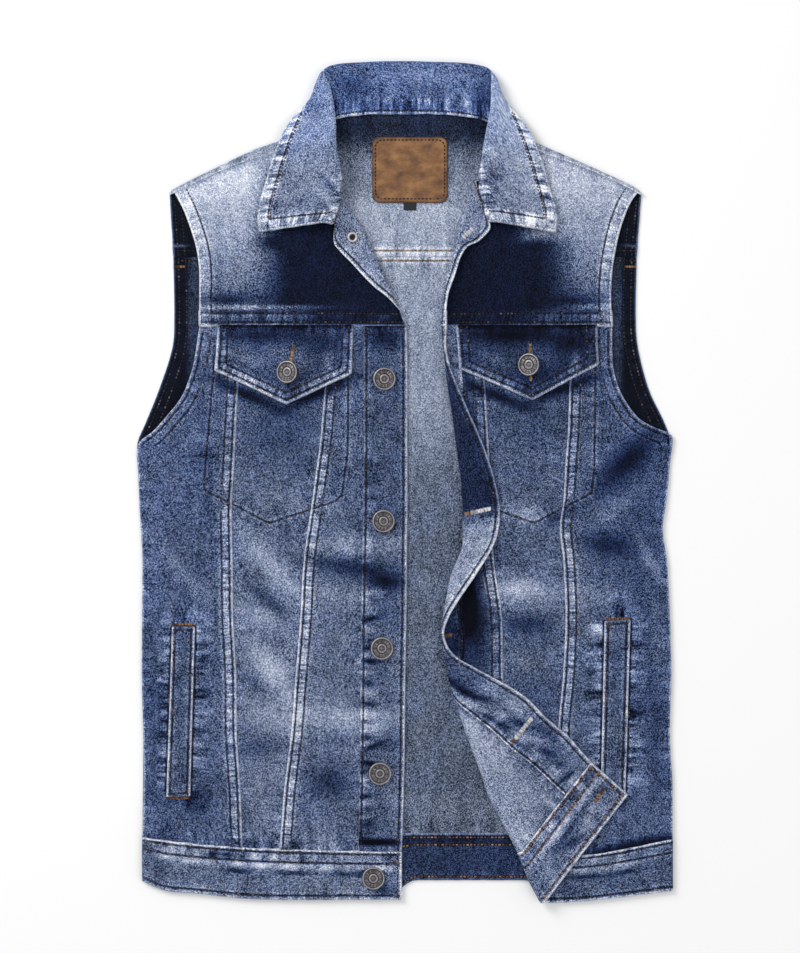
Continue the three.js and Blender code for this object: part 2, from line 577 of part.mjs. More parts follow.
function backs() {
  const pieces = [];
  const top = BACK_YOKE_SEAM - GAP;
  const rows = [BACK_HEM_SEAM, 132, 236, 287, 316, 366, 392, 410, 440, 478, 505, top];
  const flat = (name, keys, from, to, count) => {
    const points = (z) => keys.map((y) => steps(from(y), to(y), count).map((x) => [x, y, z]));
    pieces.push(wall(name, faded, points(BACK_BASE), points(CLOTH)));
  };
  const up = (y) => (y - BACK_HEM_SEAM) / (BACK_YOKE_SEAM - BACK_HEM_SEAM);
  const half = (y) => mix(BACK_PANEL.hemHalf, BACK_PANEL.yokeHalf, up(y));
  flat('back_center_panel', [BACK_HEM_SEAM, 300, top], (y) => GAP - half(y), (y) => half(y) - GAP, 2);
  flat('back_side_panel_right', rows, (y) => BACK_SIDES('right', y), (y) => -half(y), 2);
  flat('back_side_panel_left', rows, (y) => BACK_SIDES('left', y), half, 2);

  const band = (z) => [0, 1].map((v) => (
    steps(RIGHT_SEAMS('side', HEM_SEAM), LEFT_SEAMS('side', HEM_SEAM), 12).map((x) => {
      const open = ease(...OPEN_HEM.left, x) * (1 - ease(...OPEN_HEM.right, x));
      return [x, mix(BACK_HEM_SEAM - GAP, mix(HEM_LINE('y', x), OPEN_HEM.y, open), v), z];
    })));
  pieces.push(wall('waistband_back', denim, band(BACK_BASE), band(BACK_BASE + BACK_WAISTBAND)));

  const shoulderX = [
    -211.5, -197, -170, -136, -115, -98, -89, -80, -64, -36, 0,
    36, 66, 82, 90, 99, 118.6, 150.5, 184.9, 204, 212.3,
  ];
  const columns = shoulderX.map((x) => {
    const fold = [x, BACK_SHOULDER('foldY', x)];
    const turn = radians(clamp(BACK_SHOULDER('turn', x), 0, 180));
    const inward = [0, -1];
    const start = fold[1] - SHOULDER_RADIUS;
    const lift = NECK_LIFT.height * (1 - ease(NECK_LIFT.insideX, NECK_LIFT.outsideX, Math.abs(x)));
    const height = (px, py) => BACK_BASE + lift * ease(NECK_LIFT.fromY, NECK_LIFT.toY, py);
    const edge = [x, SHOULDER_SEAM('y', x) + GAP];
    const root = [BACK_SHOULDER('startX', x), BACK_YOKE_SEAM];
    return foldedRow({ root, fold, inward, radius: SHOULDER_RADIUS, turn, edge, height });
  });
  pieces.push(rowWall('back_yoke', faded, columns.map((row) => {
    const bent = row.top + row.arc;
    return [...spread(row, 0, bent + 1, 6), bent + 7, bent + 23, mix(bent, row.length, 0.5), row.length]
      .map((s) => [row, s, CLOTH]);
  })));
  return pieces;
}

// A flap: straight at the yoke seam, pointed below, lying on the panels.
function flap(name, shape) {
  const middle = (shape.tip[0] - shape.corner[0]) / (shape.corner[1] - shape.corner[0]);
  const line = (u, v) => {
    const [a, b] = shape.cornerY;
    const lowX = mix(...shape.corner, u);
    const lowY = u < middle ? mix(a, shape.tip[1], u / middle) : mix(shape.tip[1], b, (u - middle) / (1 - middle));
    return [mix(mix(...shape.top, u), lowX, v), mix(YOKE_SEAM - GAP, lowY, v)];
  };
  const across = [0, 0.17, 0.34, middle, 0.66, 0.83, 1];
  const grid = (h) => steps(0, 1, 3).map((v) => across.map((u) => {
    const [x, y] = line(u, v);
    return [x, y, frontHeight(x, y) + FLAP_RISE + h];
  }));
  return wall(name, denim, grid(0), grid(DOUBLE_CLOTH));
}

// A welt: a narrow folded strip along the slanting pocket opening.
function welt(name, shape) {
  const grid = (h) => steps(0, 1, 8).map((v) => steps(0, 1, 2).map((u) => {
    const x = mix(mix(shape.topA[0], shape.topB[0], u), mix(shape.lowA[0], shape.lowB[0], u), v);
    const y = mix(mix(shape.topA[1], shape.topB[1], u), mix(shape.lowA[1], shape.lowB[1], u), v);
    return [x, y, frontHeight(x, y) + WELT_RISE + h];
  }));
  return wall(name, denim, grid(0), grid(CLOTH));
}

// A round metal piece from its profile, lying face up.
function turned(name, profile, x, y, z) {
  const points = profile.map(([r, h]) => new THREE.Vector2(r, h));
  const mesh = new THREE.Mesh(new THREE.LatheGeometry(points, BUTTON.sides), nickel);
  mesh.rotation.x = Math.PI / 2;
  mesh.name = name;
  mesh.position.set(x, y, z);
  return mesh;
}

// A shank button: a flat cap with a raised rim and a sunk ring round a low centre. With a
// tilt, it leans over to one side, with its lower edge where an upright one would have it.
function button(name, x, y, z, tilt = 0) {
  const { radius, rim, height } = BUTTON;
  const mesh = turned(name, [
    [0, 0], [radius - rim, 0], [radius, rim], [radius, height - rim], [radius - rim, height],
    [radius * 0.78, height], [radius * 0.7, height - 0.6], [radius * 0.35, height - 0.4], [0, height - 0.2],
  ], x, y, z + radius * Math.sin(tilt));
  mesh.rotation.z = tilt;
  return mesh;
}

// A plain disc with rounded edges: the hidden cap and the back of the stud at the top button.
function disc(name, radius, height, x, y, z) {
  const edge = height / 3;
  return turned(name, [
    [0, 0], [radius - edge, 0], [radius, edge], [radius, height - edge], [radius - edge, height], [0, height],
  ], x, y, z);
}

// Highest point of the front's lower layer under a button.
function highest(x, y) {
  const round = steps(0, 2 * Math.PI, 8).map((a) => (
    frontHeight(x + BUTTON.radius * Math.cos(a), y + BUTTON.radius * Math.sin(a))));
  return Math.max(...round, frontHeight(x, y));
}

// The collar's middle surface: one point at station i and share t of the way from neck to edge.
function collarGrid(stations, shares) {
  const point = (part, i) => new THREE.Vector3(...['X', 'Y', 'Z'].map((axis) => COLLAR(part + axis, i)));
  return stations.map((i) => {
    const [neck, roll, edge] = ['neck', 'roll', 'edge'].map((part) => point(part, i));
    const behind = point('roll', Math.max(i - 0.5, -COLLAR_ENDS));
    const ahead = point('roll', Math.min(i + 0.5, COLLAR_ENDS)).sub(behind);
    const toNeck = neck.clone().sub(roll);
    const toEdge = edge.clone().sub(roll);
    const reach = Math.min(1, toNeck.length() / (3 * COLLAR_ROLL));
    const mean = toNeck.clone().normalize().add(toEdge.clone().normalize()).normalize();
    const apart = mean.clone().cross(ahead.normalize()).normalize().multiplyScalar(COLLAR_ROLL * 0.95 * reach);
    const inside = roll.clone().addScaledVector(toNeck.clone().normalize(), COLLAR_ROLL * reach).add(apart);
    const outside = roll.clone().addScaledVector(toEdge.clone().normalize(), COLLAR_ROLL * 1.3).sub(apart);
    const section = new THREE.CatmullRomCurve3([neck, inside, roll, outside, edge], false, 'centripetal');
    return shares.map((t) => section.getPoint(t));
  });
}

// Offsets a grid of points along its own normals, and keeps it above the ground.
function offsetGrid(grid, distance) {
  const last = grid.length - 1;
  const end = grid[0].length - 1;
  return grid.map((line, i) => line.map((point, j) => {
    const along = grid[Math.min(i + 1, last)][j].clone().sub(grid[Math.max(i - 1, 0)][j]);
    const across = line[Math.min(j + 1, end)].clone().sub(line[Math.max(j - 1, 0)]);
    const away = along.cross(across).normalize();
    const [x, y, z] = point.clone().addScaledVector(away, distance).toArray();
    return [x, y, Math.max(z, 0)];
  }));
}

function collar() {
  const stations = steps(-COLLAR_ENDS, COLLAR_ENDS, 44);
  const shares = [0, 0.1, 0.18, 0.25, 0.33, 0.42, 0.5, 0.58, 0.67, 0.75, 0.83, 0.91, 1];
  const middle = collarGrid(stations, shares);
  return wall('collar', denim, offsetGrid(middle, -COLLAR_HALF), offsetGrid(middle, COLLAR_HALF));
}

// The leather patch, with its corners cut off, and the tab that comes out below it.
function neckLabels() {
  const plate = (name, material, points, depth, z) => {
    const outline = new THREE.Shape(points.map(([x, y]) => new THREE.Vector2(x, y)));
    const geometry = new THREE.ExtrudeGeometry(outline, { depth, bevelEnabled: false });
    const mesh = new THREE.Mesh(geometry, material);
    mesh.name = name;
    mesh.position.z = z;
    return mesh;
  };
  const { left, right, low, high, corner } = PATCH;
  const patch = [
    [left + corner, low], [right - corner, low], [right, low + corner], [right, high - corner],
    [right - corner, high], [left + corner, high], [left, high - corner], [left, low + corner],
  ];
  const tab = [[TAB.left, TAB.low], [TAB.right, TAB.low], [TAB.right, TAB.high], [TAB.left, TAB.high]];
  return [
    plate('neck_patch', leather, patch, PATCH.thickness, CLOTH + GAP),
    plate('size_tab', ribbon, tab, TAB.thickness, CLOTH + GAP),
  ];
}

function trims() {
  const pieces = [
    flap('pocket_flap_right', FLAPS.right),
    flap('pocket_flap_left', FLAPS.left),
    welt('pocket_welt_right', WELTS.right),
    welt('pocket_welt_left', WELTS.left),
  ];
  for (const [name, x, y] of BUTTONS) pieces.push(button(name, x, y, highest(x, y) + DOUBLE_CLOTH + GAP));
  const [topX, topY] = TOP_BUTTON;
  const lapel = frontHeight(topX, topY) + 2 * TOP_BUTTON_ROLL;
  const cap = highest(topX, topY) + CLOTH + GAP;
  pieces.push(disc('button_top', TOP_BUTTON_RADIUS, TOP_BUTTON_HEIGHT, topX, topY, cap));
  pieces.push(disc('stud_top', BUTTON.stud, BUTTON.studHeight, topX, topY, lapel + GAP));
  for (const side of ['right', 'left']) {
    const [x, y] = FLAPS[side].button;
    const on = highest(x, y) + FLAP_RISE + DOUBLE_CLOTH + GAP;
    pieces.push(button(`button_flap_${side}`, x, y, on, FLAP_BUTTON_TILT));
  }
  return pieces;
}

const vest = new THREE.Group();
vest.add(...backs(), ...fronts(), ...trims(), collar(), ...neckLabels());
vest.position.set(-ORIGIN[0], -ORIGIN[1], 0);

export default vest;
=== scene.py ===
# Looks of the denim vest: cloth with its seams, folds, stitching, wash and painted shade, and its buttons.
# Lengths are in millimetres up to the last step, measured as in the frame: x across and
# y up the garment from the hem of the back, moved by ORIGIN into the frame's metres.
import math

import bpy
import numpy as np
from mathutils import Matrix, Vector
from mathutils.bvhtree import BVHTree


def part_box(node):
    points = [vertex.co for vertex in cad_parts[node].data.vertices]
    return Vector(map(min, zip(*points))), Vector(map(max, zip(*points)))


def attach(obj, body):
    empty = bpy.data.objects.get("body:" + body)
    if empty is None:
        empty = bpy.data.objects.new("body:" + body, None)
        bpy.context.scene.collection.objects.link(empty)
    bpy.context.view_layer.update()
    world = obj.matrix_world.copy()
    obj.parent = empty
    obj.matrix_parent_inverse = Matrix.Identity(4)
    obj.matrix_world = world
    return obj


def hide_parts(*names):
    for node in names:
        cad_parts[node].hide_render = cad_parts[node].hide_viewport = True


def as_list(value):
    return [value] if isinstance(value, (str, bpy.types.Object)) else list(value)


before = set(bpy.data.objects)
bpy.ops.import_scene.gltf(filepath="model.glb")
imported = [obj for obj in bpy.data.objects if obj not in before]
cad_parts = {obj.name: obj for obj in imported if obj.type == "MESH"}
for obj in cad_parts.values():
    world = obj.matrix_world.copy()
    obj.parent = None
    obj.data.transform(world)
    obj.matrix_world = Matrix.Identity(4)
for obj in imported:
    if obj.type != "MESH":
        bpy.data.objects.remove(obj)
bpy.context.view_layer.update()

# Frame and view
ORIGIN = (-0.03, 357.52)
MM_PER_PIXEL = 0.9
FRAME_PIXELS = (800, 953)
ZERO_PIXEL = (405, 879)
VIEW_PIXEL = (400, 476.5)
CAMERA_HEIGHT = 3.0
SENSOR = 36.0

# Cloth and seams
CLOTH = 1.3
DOUBLE = 2.0
GAP = 0.3
BAND = 10.0
BAND_RISE = 1.0
YOKE_BAND = 13.0
WAISTBAND = 40.0
HEM_SEAM = 25.0
HEM_EASE = 110.0
YOKE_SEAM = 498.0
BACK_YOKE_SEAM = 560.0
BAG_TOP = 478.0
RIGHT_SIDE_X = -235.6
RIGHT_EDGE_X = -3.6
LEFT_SIDE_X = 240.0
ARMPIT = 388.0
WAIST_GAP = 0.5
SHOULDER_GAP = 0.5

# Heights at which the cloth lies, and how it rolls over and sinks
FRONT_BASE = 2.6
SIDE_SEAM_BASE = 1.7
WAIST_SIDE_BASE = 2.4
SIDE_ROLL = 7.0
WAIST_ROLL = 4.6
SHOULDER_RADIUS = 2.0
NECK_LIFT = 2.8
FOLD_SLOPE = 0.09
FRONT_SINK = 2.8
LAPEL_SINK = 1.5
ROW_EASE = 5.0
COLLAR_HALF = 1.0
COLLAR_ROLL = 2.3
COLLAR_ENDS = 11
YOKE_ROWS = 12
RIM_BULGE = 0.45
MIN_SHEET = 0.01
FLOOR_Z = -0.0004

# A distance beyond all seams, the place of a sewn row that isn't there,
# and the seed of the fronts' unevenness
FAR = 60.0
NO_ROW = -90.0
FRONT_SEED = 3


# Small helpers
def mix(a, b, t):
    return a + (b - a) * t


def ease(low, high, x):
    t = np.clip((x - low) / (high - low), 0, 1)
    return t * t * (3 - 2 * t)


def unit(v):
    length = np.linalg.norm(v, axis=-1, keepdims=True)
    return v / np.maximum(length, 1e-9)


class Table:
    """Named columns, read by the first one along a smooth curve through all rows."""

    def __init__(self, columns, rows):
        self.names = columns.split()
        self.rows = np.array(rows, float)
        self.key = self.rows[:, 0]
        last = len(rows) - 1
        a = np.maximum(np.arange(last + 1) - 1, 0)
        b = np.minimum(np.arange(last + 1) + 1, last)
        self.slope = (self.rows[b] - self.rows[a]) / (self.key[b] - self.key[a])[:, None]

    def __call__(self, name, x):
        c = self.names.index(name)
        at = np.clip(np.asarray(x, float), self.key[0], self.key[-1])
        i = np.clip(np.searchsorted(self.key, at, side="left") - 1, 0, len(self.key) - 2)
        width = self.key[i + 1] - self.key[i]
        t = (at - self.key[i]) / width
        rise = self.rows[i + 1, c] - self.rows[i, c]
        a = self.slope[i, c] * width - rise
        b = rise - self.slope[i + 1, c] * width
        return mix(self.rows[i, c], self.rows[i + 1, c], t) + t * (1 - t) * (a * (1 - t) + b * t)


def hashed(i, j, seed):
    """A repeatable number from 0 to 1 for each pair of whole numbers."""
    value = np.sin(i * 127.1 + j * 311.7 + seed * 74.7) * 43758.5453
    return value - np.floor(value)


def noise(x, y=0.0, seed=0):
    """Smooth noise from 0 to 1 over a plane, with cells one unit wide."""
    x, y = np.broadcast_arrays(np.asarray(x, float), np.asarray(y, float))
    i, j = np.floor(x), np.floor(y)
    u, v = x - i, y - j
    u, v = u * u * (3 - 2 * u), v * v * (3 - 2 * v)
    low = mix(hashed(i, j, seed), hashed(i + 1, j, seed), u)
    high = mix(hashed(i, j + 1, seed), hashed(i + 1, j + 1, seed), u)
    return mix(low, high, v)


def soft_mark(x, y, mark):
    """A long soft bump: middle, direction in degrees, half length, half width, height."""
    mx, my, angle, length, width, height = mark
    a = math.radians(angle)
    along = ((x - mx) * math.cos(a) + (y - my) * math.sin(a)) / length
    across = ((y - my) * math.cos(a) - (x - mx) * math.sin(a)) / width
    return height * np.exp(-along ** 2 - across ** 2)


def marks(x, y, rows):
    total = np.zeros(np.broadcast(x, y).shape)
    for row in rows:
        total = total + soft_mark(x, y, row)
    return total


# Seams of the two fronts, as they lie
RIGHT_SEAMS = Table("y side outer inner placket edge", [
    [25, -235.6, -147.0, -111.9, -41.4, -3.6],
    [80, -234.2, -149.0, -107.7, -40.5, -1.8],
    [132, -235.0, -152.1, -101.5, -39.6, -0.9],
    [184, -236.3, -152.7, -97.4, -39.2, -0.5],
    [236, -236.0, -155.3, -93.2, -38.7, 0.5],
    [287, -235.8, -155.9, -90.2, -37.8, 0.9],
    [335, -238.2, -156.6, -83.4, -36.9, 1.4],
    [366, -239.6, -154.9, -79.2, -36.5, 1.4],
    [392, -239.2, -153.6, -75.6, -36.4, 1.4],
    [403, -225.9, -153.0, -74.5, -36.4, 1.4],
    [418, -212.6, -152.2, -73.3, -36.4, 1.4],
    [433, -200.9, -151.4, -72.0, -36.4, 1.4],
    [450, -193.5, -150.4, -70.4, -36.4, 1.4],
    [465, -189.3, -149.4, -68.6, -36.4, 1.4],
    [498, -184.2, -146.7, -63.9, -36.4, 0.9],
])
LEFT_SEAMS = Table("y side outer inner", [
    [25, 240.0, 145.0, 110.0],
    [80, 240.0, 141.0, 98.0],
    [132, 237.6, 138.5, 91.0],
    [184, 239.0, 143.0, 87.2],
    [236, 237.8, 145.2, 86.3],
    [287, 235.0, 143.1, 79.2],
    [316, 231.3, 140.1, 77.6],
    [342, 234.9, 143.2, 76.6],
    [378, 238.0, 145.3, 75.0],
    [400, 238.9, 147.1, 73.8],
    [406, 224.7, 147.4, 73.5],
    [413, 211.5, 147.7, 73.1],
    [427, 199.8, 148.2, 72.3],
    [443, 191.4, 148.8, 71.3],
    [462, 186.5, 149.9, 70.0],
    [498, 185.7, 152.0, 67.0],
])
WAIST_SEAM = Table("x y", [
    [-236, 37.8], [-193, 32.4], [-145, 28.8], [-81, 26.4], [-4, 25], [101, 25], [160, 21.8], [240, 36],
])
HEM_LINE = Table("x y", [
    [-236, -0.9], [-216, -9], [-190, -11.7], [-132, -17.1],
    [-4, -17.6], [121, -20.5], [173, -17.6], [240, -9.5],
])

# The folded-back edge of the wearer's left front
LEFT_FOLD = Table("y foldX radius edgeX edgeY placket", [
    [25, 100.5, 4.6, 166.2, 106.0, 37],
    [48, 89.0, 4.6, 158.0, 115.0, 38],
    [71, 76.5, 4.6, 146.0, 128.5, 40],
    [97, 67.5, 4.6, 125.5, 146.0, 41],
    [119, 59.4, 4.6, 110.0, 162.0, 42],
    [144, 50.4, 4.6, 92.4, 173.7, 41],
    [164, 44.1, 4.6, 76.3, 182.5, 39],
    [179, 39.6, 4.4, 65.0, 188.6, 37],
    [200, 36.0, 4.2, 43.5, 202.0, 29],
    [220, 32.6, 4.0, 33.8, 220.0, 26],
    [238, 34.0, 4.2, 39.0, 237.0, 26],
    [257, 37.6, 4.4, 48.5, 253.0, 30],
    [273, 40.8, 4.4, 56.0, 264.0, 34],
    [285, 45.9, 4.4, 64.0, 276.0, 37],
    [299, 51.1, 4.4, 78.0, 298.8, 40],
    [316, 51.5, 4.4, 83.7, 318.0, 41],
    [332, 51.5, 4.4, 84.1, 335.0, 41],
    [357, 50.4, 4.4, 79.5, 360.0, 40],
    [383, 46.8, 4.4, 70.0, 389.0, 37],
    [418, 42.3, 4.2, 55.7, 422.0, 33],
    [452, 36.9, 4.0, 43.0, 452.0, 28],
    [476, 34.7, 3.8, 36.0, 476.0, 26],
    [498, 32.5, 3.6, 36.5, 498.0, 26],
])
LEFT_WAIST_FOLD = Table("v foldX foldY edgeX edgeY", [
    [0, 100.9, 23.9, 166.9, 104.9],
    [0.5, 110.7, -0.5, 182.6, 91.4],
    [1, 121.5, -20.7, 199.2, 76.5],
])

# The yokes, from the front seam to the shoulder seam
RIGHT_YOKE = Table("row armX armY foldX foldY radius turn edgeX edgeY", [
    [0, -184.2, 498, 0.9, 498.0, 2.0, 0, 0.9, 498.0],
    [1, -184.2, 512, -2.8, 510.7, 2.0, 60, -3.0, 510.7],
    [2, -184.1, 530, -11.3, 525.3, 2.4, 180, -15.5, 523.5],
    [3, -184.2, 547, -17.7, 541.0, 3.6, 180, -27.0, 532.5],
    [4, -185.5, 560, -24.1, 555.7, 3.6, 180, -38.0, 543.5],
    [5, -188.0, 572, -30.6, 570.3, 3.6, 180, -48.0, 554.5],
    [6, -192.0, 585, -39.8, 588.7, 3.6, 180, -58.1, 564.8],
    [7, -197.0, 599, -50.0, 603.0, 3.6, 180, -63.6, 573.0],
    [8, -200.0, 606, -54.5, 611.0, 3.6, 180, -63.2, 588.0],
    [9, -202.5, 611, -58.5, 620.0, 3.6, 150, -62.0, 617.0],
    [10, -204.0, 614.5, -64.0, 632.0, 3.0, 0, -64.0, 632.0],
    [11, -205.3, 617, -74.0, 648.0, 3.0, 0, -74.0, 648.0],
    [12, -206.0, 619, -88.0, 660.0, 3.0, 0, -88.0, 660.0],
])
LEFT_YOKE = Table("row armX armY foldX foldY radius turn edgeX edgeY", [
    [0, 185.7, 498, 32.5, 498.0, 3.6, 180, 36.8, 498.0],
    [1, 184.8, 512, 34.0, 512.0, 3.6, 160, 36.8, 512.0],
    [2, 184.5, 530, 35.8, 528.0, 3.6, 170, 40.0, 528.0],
    [3, 185.6, 547, 38.5, 545.0, 3.6, 180, 44.5, 543.5],
    [4, 187.5, 560, 42.5, 560.0, 3.6, 180, 49.5, 559.0],
    [5, 190.0, 573, 45.2, 573.0, 3.4, 180, 56.0, 569.0],
    [6, 193.0, 585, 48.0, 583.0, 3.2, 180, 66.0, 574.0],
    [7, 197.0, 597, 51.0, 596.0, 3.0, 180, 75.8, 584.5],
    [8, 200.0, 605, 55.0, 609.0, 3.0, 180, 74.6, 594.0],
    [9, 203.0, 611, 60.0, 621.5, 3.0, 180, 68.0, 612.0],
    [10, 205.0, 614.5, 66.6, 633.6, 3.0, 0, 66.6, 633.6],
    [11, 206.8, 617.5, 77.0, 648.0, 3.0, 0, 77.0, 648.0],
    [12, 208.0, 619.5, 88.0, 660.0, 3.0, 0, 88.0, 660.0],
])
SHOULDER_SEAM = Table("x y", [
    [-211.5, 615.3], [-197, 621.8], [-170.4, 634.6], [-135.9, 648], [-118.8, 653.3], [-100, 658], [-88, 660],
    [88, 660], [100, 657.8], [121.2, 654.8], [150.3, 643.8], [184.9, 629.5], [196.1, 624], [212.3, 615.3],
])

# The back
BACK_SIDES = Table("y right left", [
    [41, -235.7, 240.0],
    [132, -235.0, 237.6],
    [236, -236.0, 237.8],
    [287, -235.8, 235.0],
    [316, -237.0, 231.3],
    [366, -239.6, 237.0],
    [392, -240.2, 238.8],
    [410, -233.0, 233.1],
    [440, -220.9, 219.0],
    [478, -208.8, 209.0],
    [505, -207.0, 207.0],
    [560, -207.9, 207.9],
])
BACK_LOW = 41.0
BACK_HALF = (126.0, 142.0)
BACK_SHOULDER = Table("x foldY turn startX", [
    [-211.5, 619.2, 180, -207.9],
    [-197.0, 626.8, 180, -194.0],
    [-170.0, 640.0, 180, -168.0],
    [-136.0, 656.0, 180, -135.0],
    [-115.0, 663.5, 180, -114.0],
    [-98.0, 670.6, 150, -97.5],
    [-89.0, 674.6, 40, -88.8],
    [-80.0, 680.0, 0, -80.0],
    [-64.0, 688.0, 0, -64.0],
    [-36.0, 692.0, 0, -36.0],
    [0.0, 692.0, 0, 0.0],
    [36.0, 692.0, 0, 36.0],
    [66.0, 688.0, 0, 66.0],
    [82.0, 680.0, 0, 82.0],
    [90.0, 674.6, 40, 89.8],
    [99.0, 670.6, 150, 98.5],
    [118.6, 662.1, 180, 117.6],
    [150.5, 648.4, 180, 149.0],
    [184.9, 632.9, 180, 182.0],
    [204.0, 623.8, 180, 201.0],
    [212.3, 618.0, 180, 207.9],
])

# The collar: neck seam, roll and outer edge at each station round the neck
COLLAR = Table("station neckX neckY neckZ rollX rollY rollZ edgeX edgeY edgeZ", [
    [-11, -65.0, 590.5, 11.8, -67.5, 590.0, 15.2, -130.0, 582.5, 7.4],
    [-10, -63.5, 603.0, 11.8, -60.0, 606.0, 16.0, -131.5, 598.0, 7.4],
    [-9, -62.0, 619.0, 11.2, -57.8, 624.0, 17.0, -127.0, 617.0, 7.4],
    [-8, -67.0, 634.0, 7.6, -58.7, 640.0, 17.8, -121.5, 636.0, 7.6],
    [-7, -76.0, 648.0, 6.4, -62.3, 658.8, 18.0, -115.2, 655.0, 8.0],
    [-6, -84.0, 656.5, 6.2, -62.8, 677.7, 16.5, -109.0, 670.0, 7.8],
    [-5, -87.0, 663.5, 6.2, -64.5, 694.8, 14.0, -103.0, 680.0, 6.6],
    [-4, -84.0, 671.0, 6.2, -68.5, 713.0, 10.5, -96.0, 688.0, 3.6],
    [-3, -77.0, 678.5, 6.0, -73.0, 725.0, 7.4, -87.0, 688.0, 1.6],
    [-2, -64.0, 684.0, 5.9, -62.0, 731.5, 5.4, -68.0, 684.0, 1.2],
    [-1, -36.0, 688.0, 5.9, -35.0, 733.8, 4.2, -36.0, 684.0, 1.2],
    [0, 0.0, 688.5, 5.9, 0.0, 734.6, 4.1, 0.0, 684.0, 1.2],
    [1, 36.0, 688.0, 5.9, 36.0, 733.8, 4.2, 36.0, 684.0, 1.2],
    [2, 66.0, 684.0, 5.9, 66.0, 731.2, 5.4, 71.0, 684.0, 1.2],
    [3, 78.0, 678.5, 6.0, 77.0, 725.5, 7.4, 88.0, 688.0, 1.6],
    [4, 86.0, 671.0, 6.2, 78.0, 711.9, 10.5, 98.0, 688.0, 3.6],
    [5, 89.0, 663.5, 6.2, 77.4, 693.0, 14.0, 106.0, 680.0, 6.6],
    [6, 87.0, 656.0, 6.2, 73.8, 673.0, 16.5, 113.0, 669.0, 7.8],
    [7, 79.0, 648.0, 6.4, 70.2, 652.0, 18.0, 120.5, 650.0, 8.0],
    [8, 70.0, 634.0, 7.6, 68.7, 636.3, 17.8, 125.6, 634.0, 7.6],
    [9, 68.5, 617.0, 10.5, 70.8, 618.5, 17.0, 130.5, 617.0, 7.4],
    [10, 73.0, 602.0, 11.0, 72.9, 603.0, 16.0, 135.0, 600.0, 7.4],
    [11, 76.0, 592.5, 11.0, 76.8, 591.5, 14.6, 134.5, 582.5, 7.4],
])

# Large folds of the fronts: x, y, direction in degrees, half length, half width, height
FOLDS = [
    (-112, 205, 68, 95, 17, 1.7),
    (-78, 300, 80, 70, 14, 1.3),
    (-195, 330, -48, 55, 13, 1.5),
    (-196, 120, 60, 60, 15, 1.1),
    (200, 335, 52, 62, 13, 1.7),
    (205, 262, -55, 58, 13, 1.5),
    (116, 240, 78, 60, 14, 1.4),
    (196, 120, 70, 60, 15, 1.2),
]


# Form of the cloth
def front_height(x, y):
    """Inner face of the fronts' lower layer."""
    z = FRONT_BASE + marks(x, y, FOLDS)
    side = np.where(x < 0, RIGHT_SEAMS("side", y), LEFT_SEAMS("side", y))
    below_arm = 1 - ease(ARMPIT, 410, y)
    near_side = 1 - ease(0, SIDE_ROLL, np.abs(side) - np.abs(x))
    low = mix(WAIST_SIDE_BASE, SIDE_SEAM_BASE, ease(44, 60, y))
    return mix(z, low, below_arm * near_side)


def waist_shift(x, y):
    return (WAIST_SEAM("y", x) - HEM_SEAM) * (1 - ease(HEM_SEAM, HEM_SEAM + HEM_EASE, y))


def across(dx, dy, side):
    """Unit direction square to (dx, dy)."""
    return unit(np.stack([side * dy, -side * dx], -1))


def rolled(fold, inward, radius, edge):
    """How far a roll has turned when the edge lies this far behind the fold."""
    behind = ((edge - fold) * inward).sum(-1)
    part = np.pi - np.arcsin(np.clip(1 - behind / np.maximum(radius, 1e-6), 0, 1))
    return np.where(behind < radius, part, np.pi)


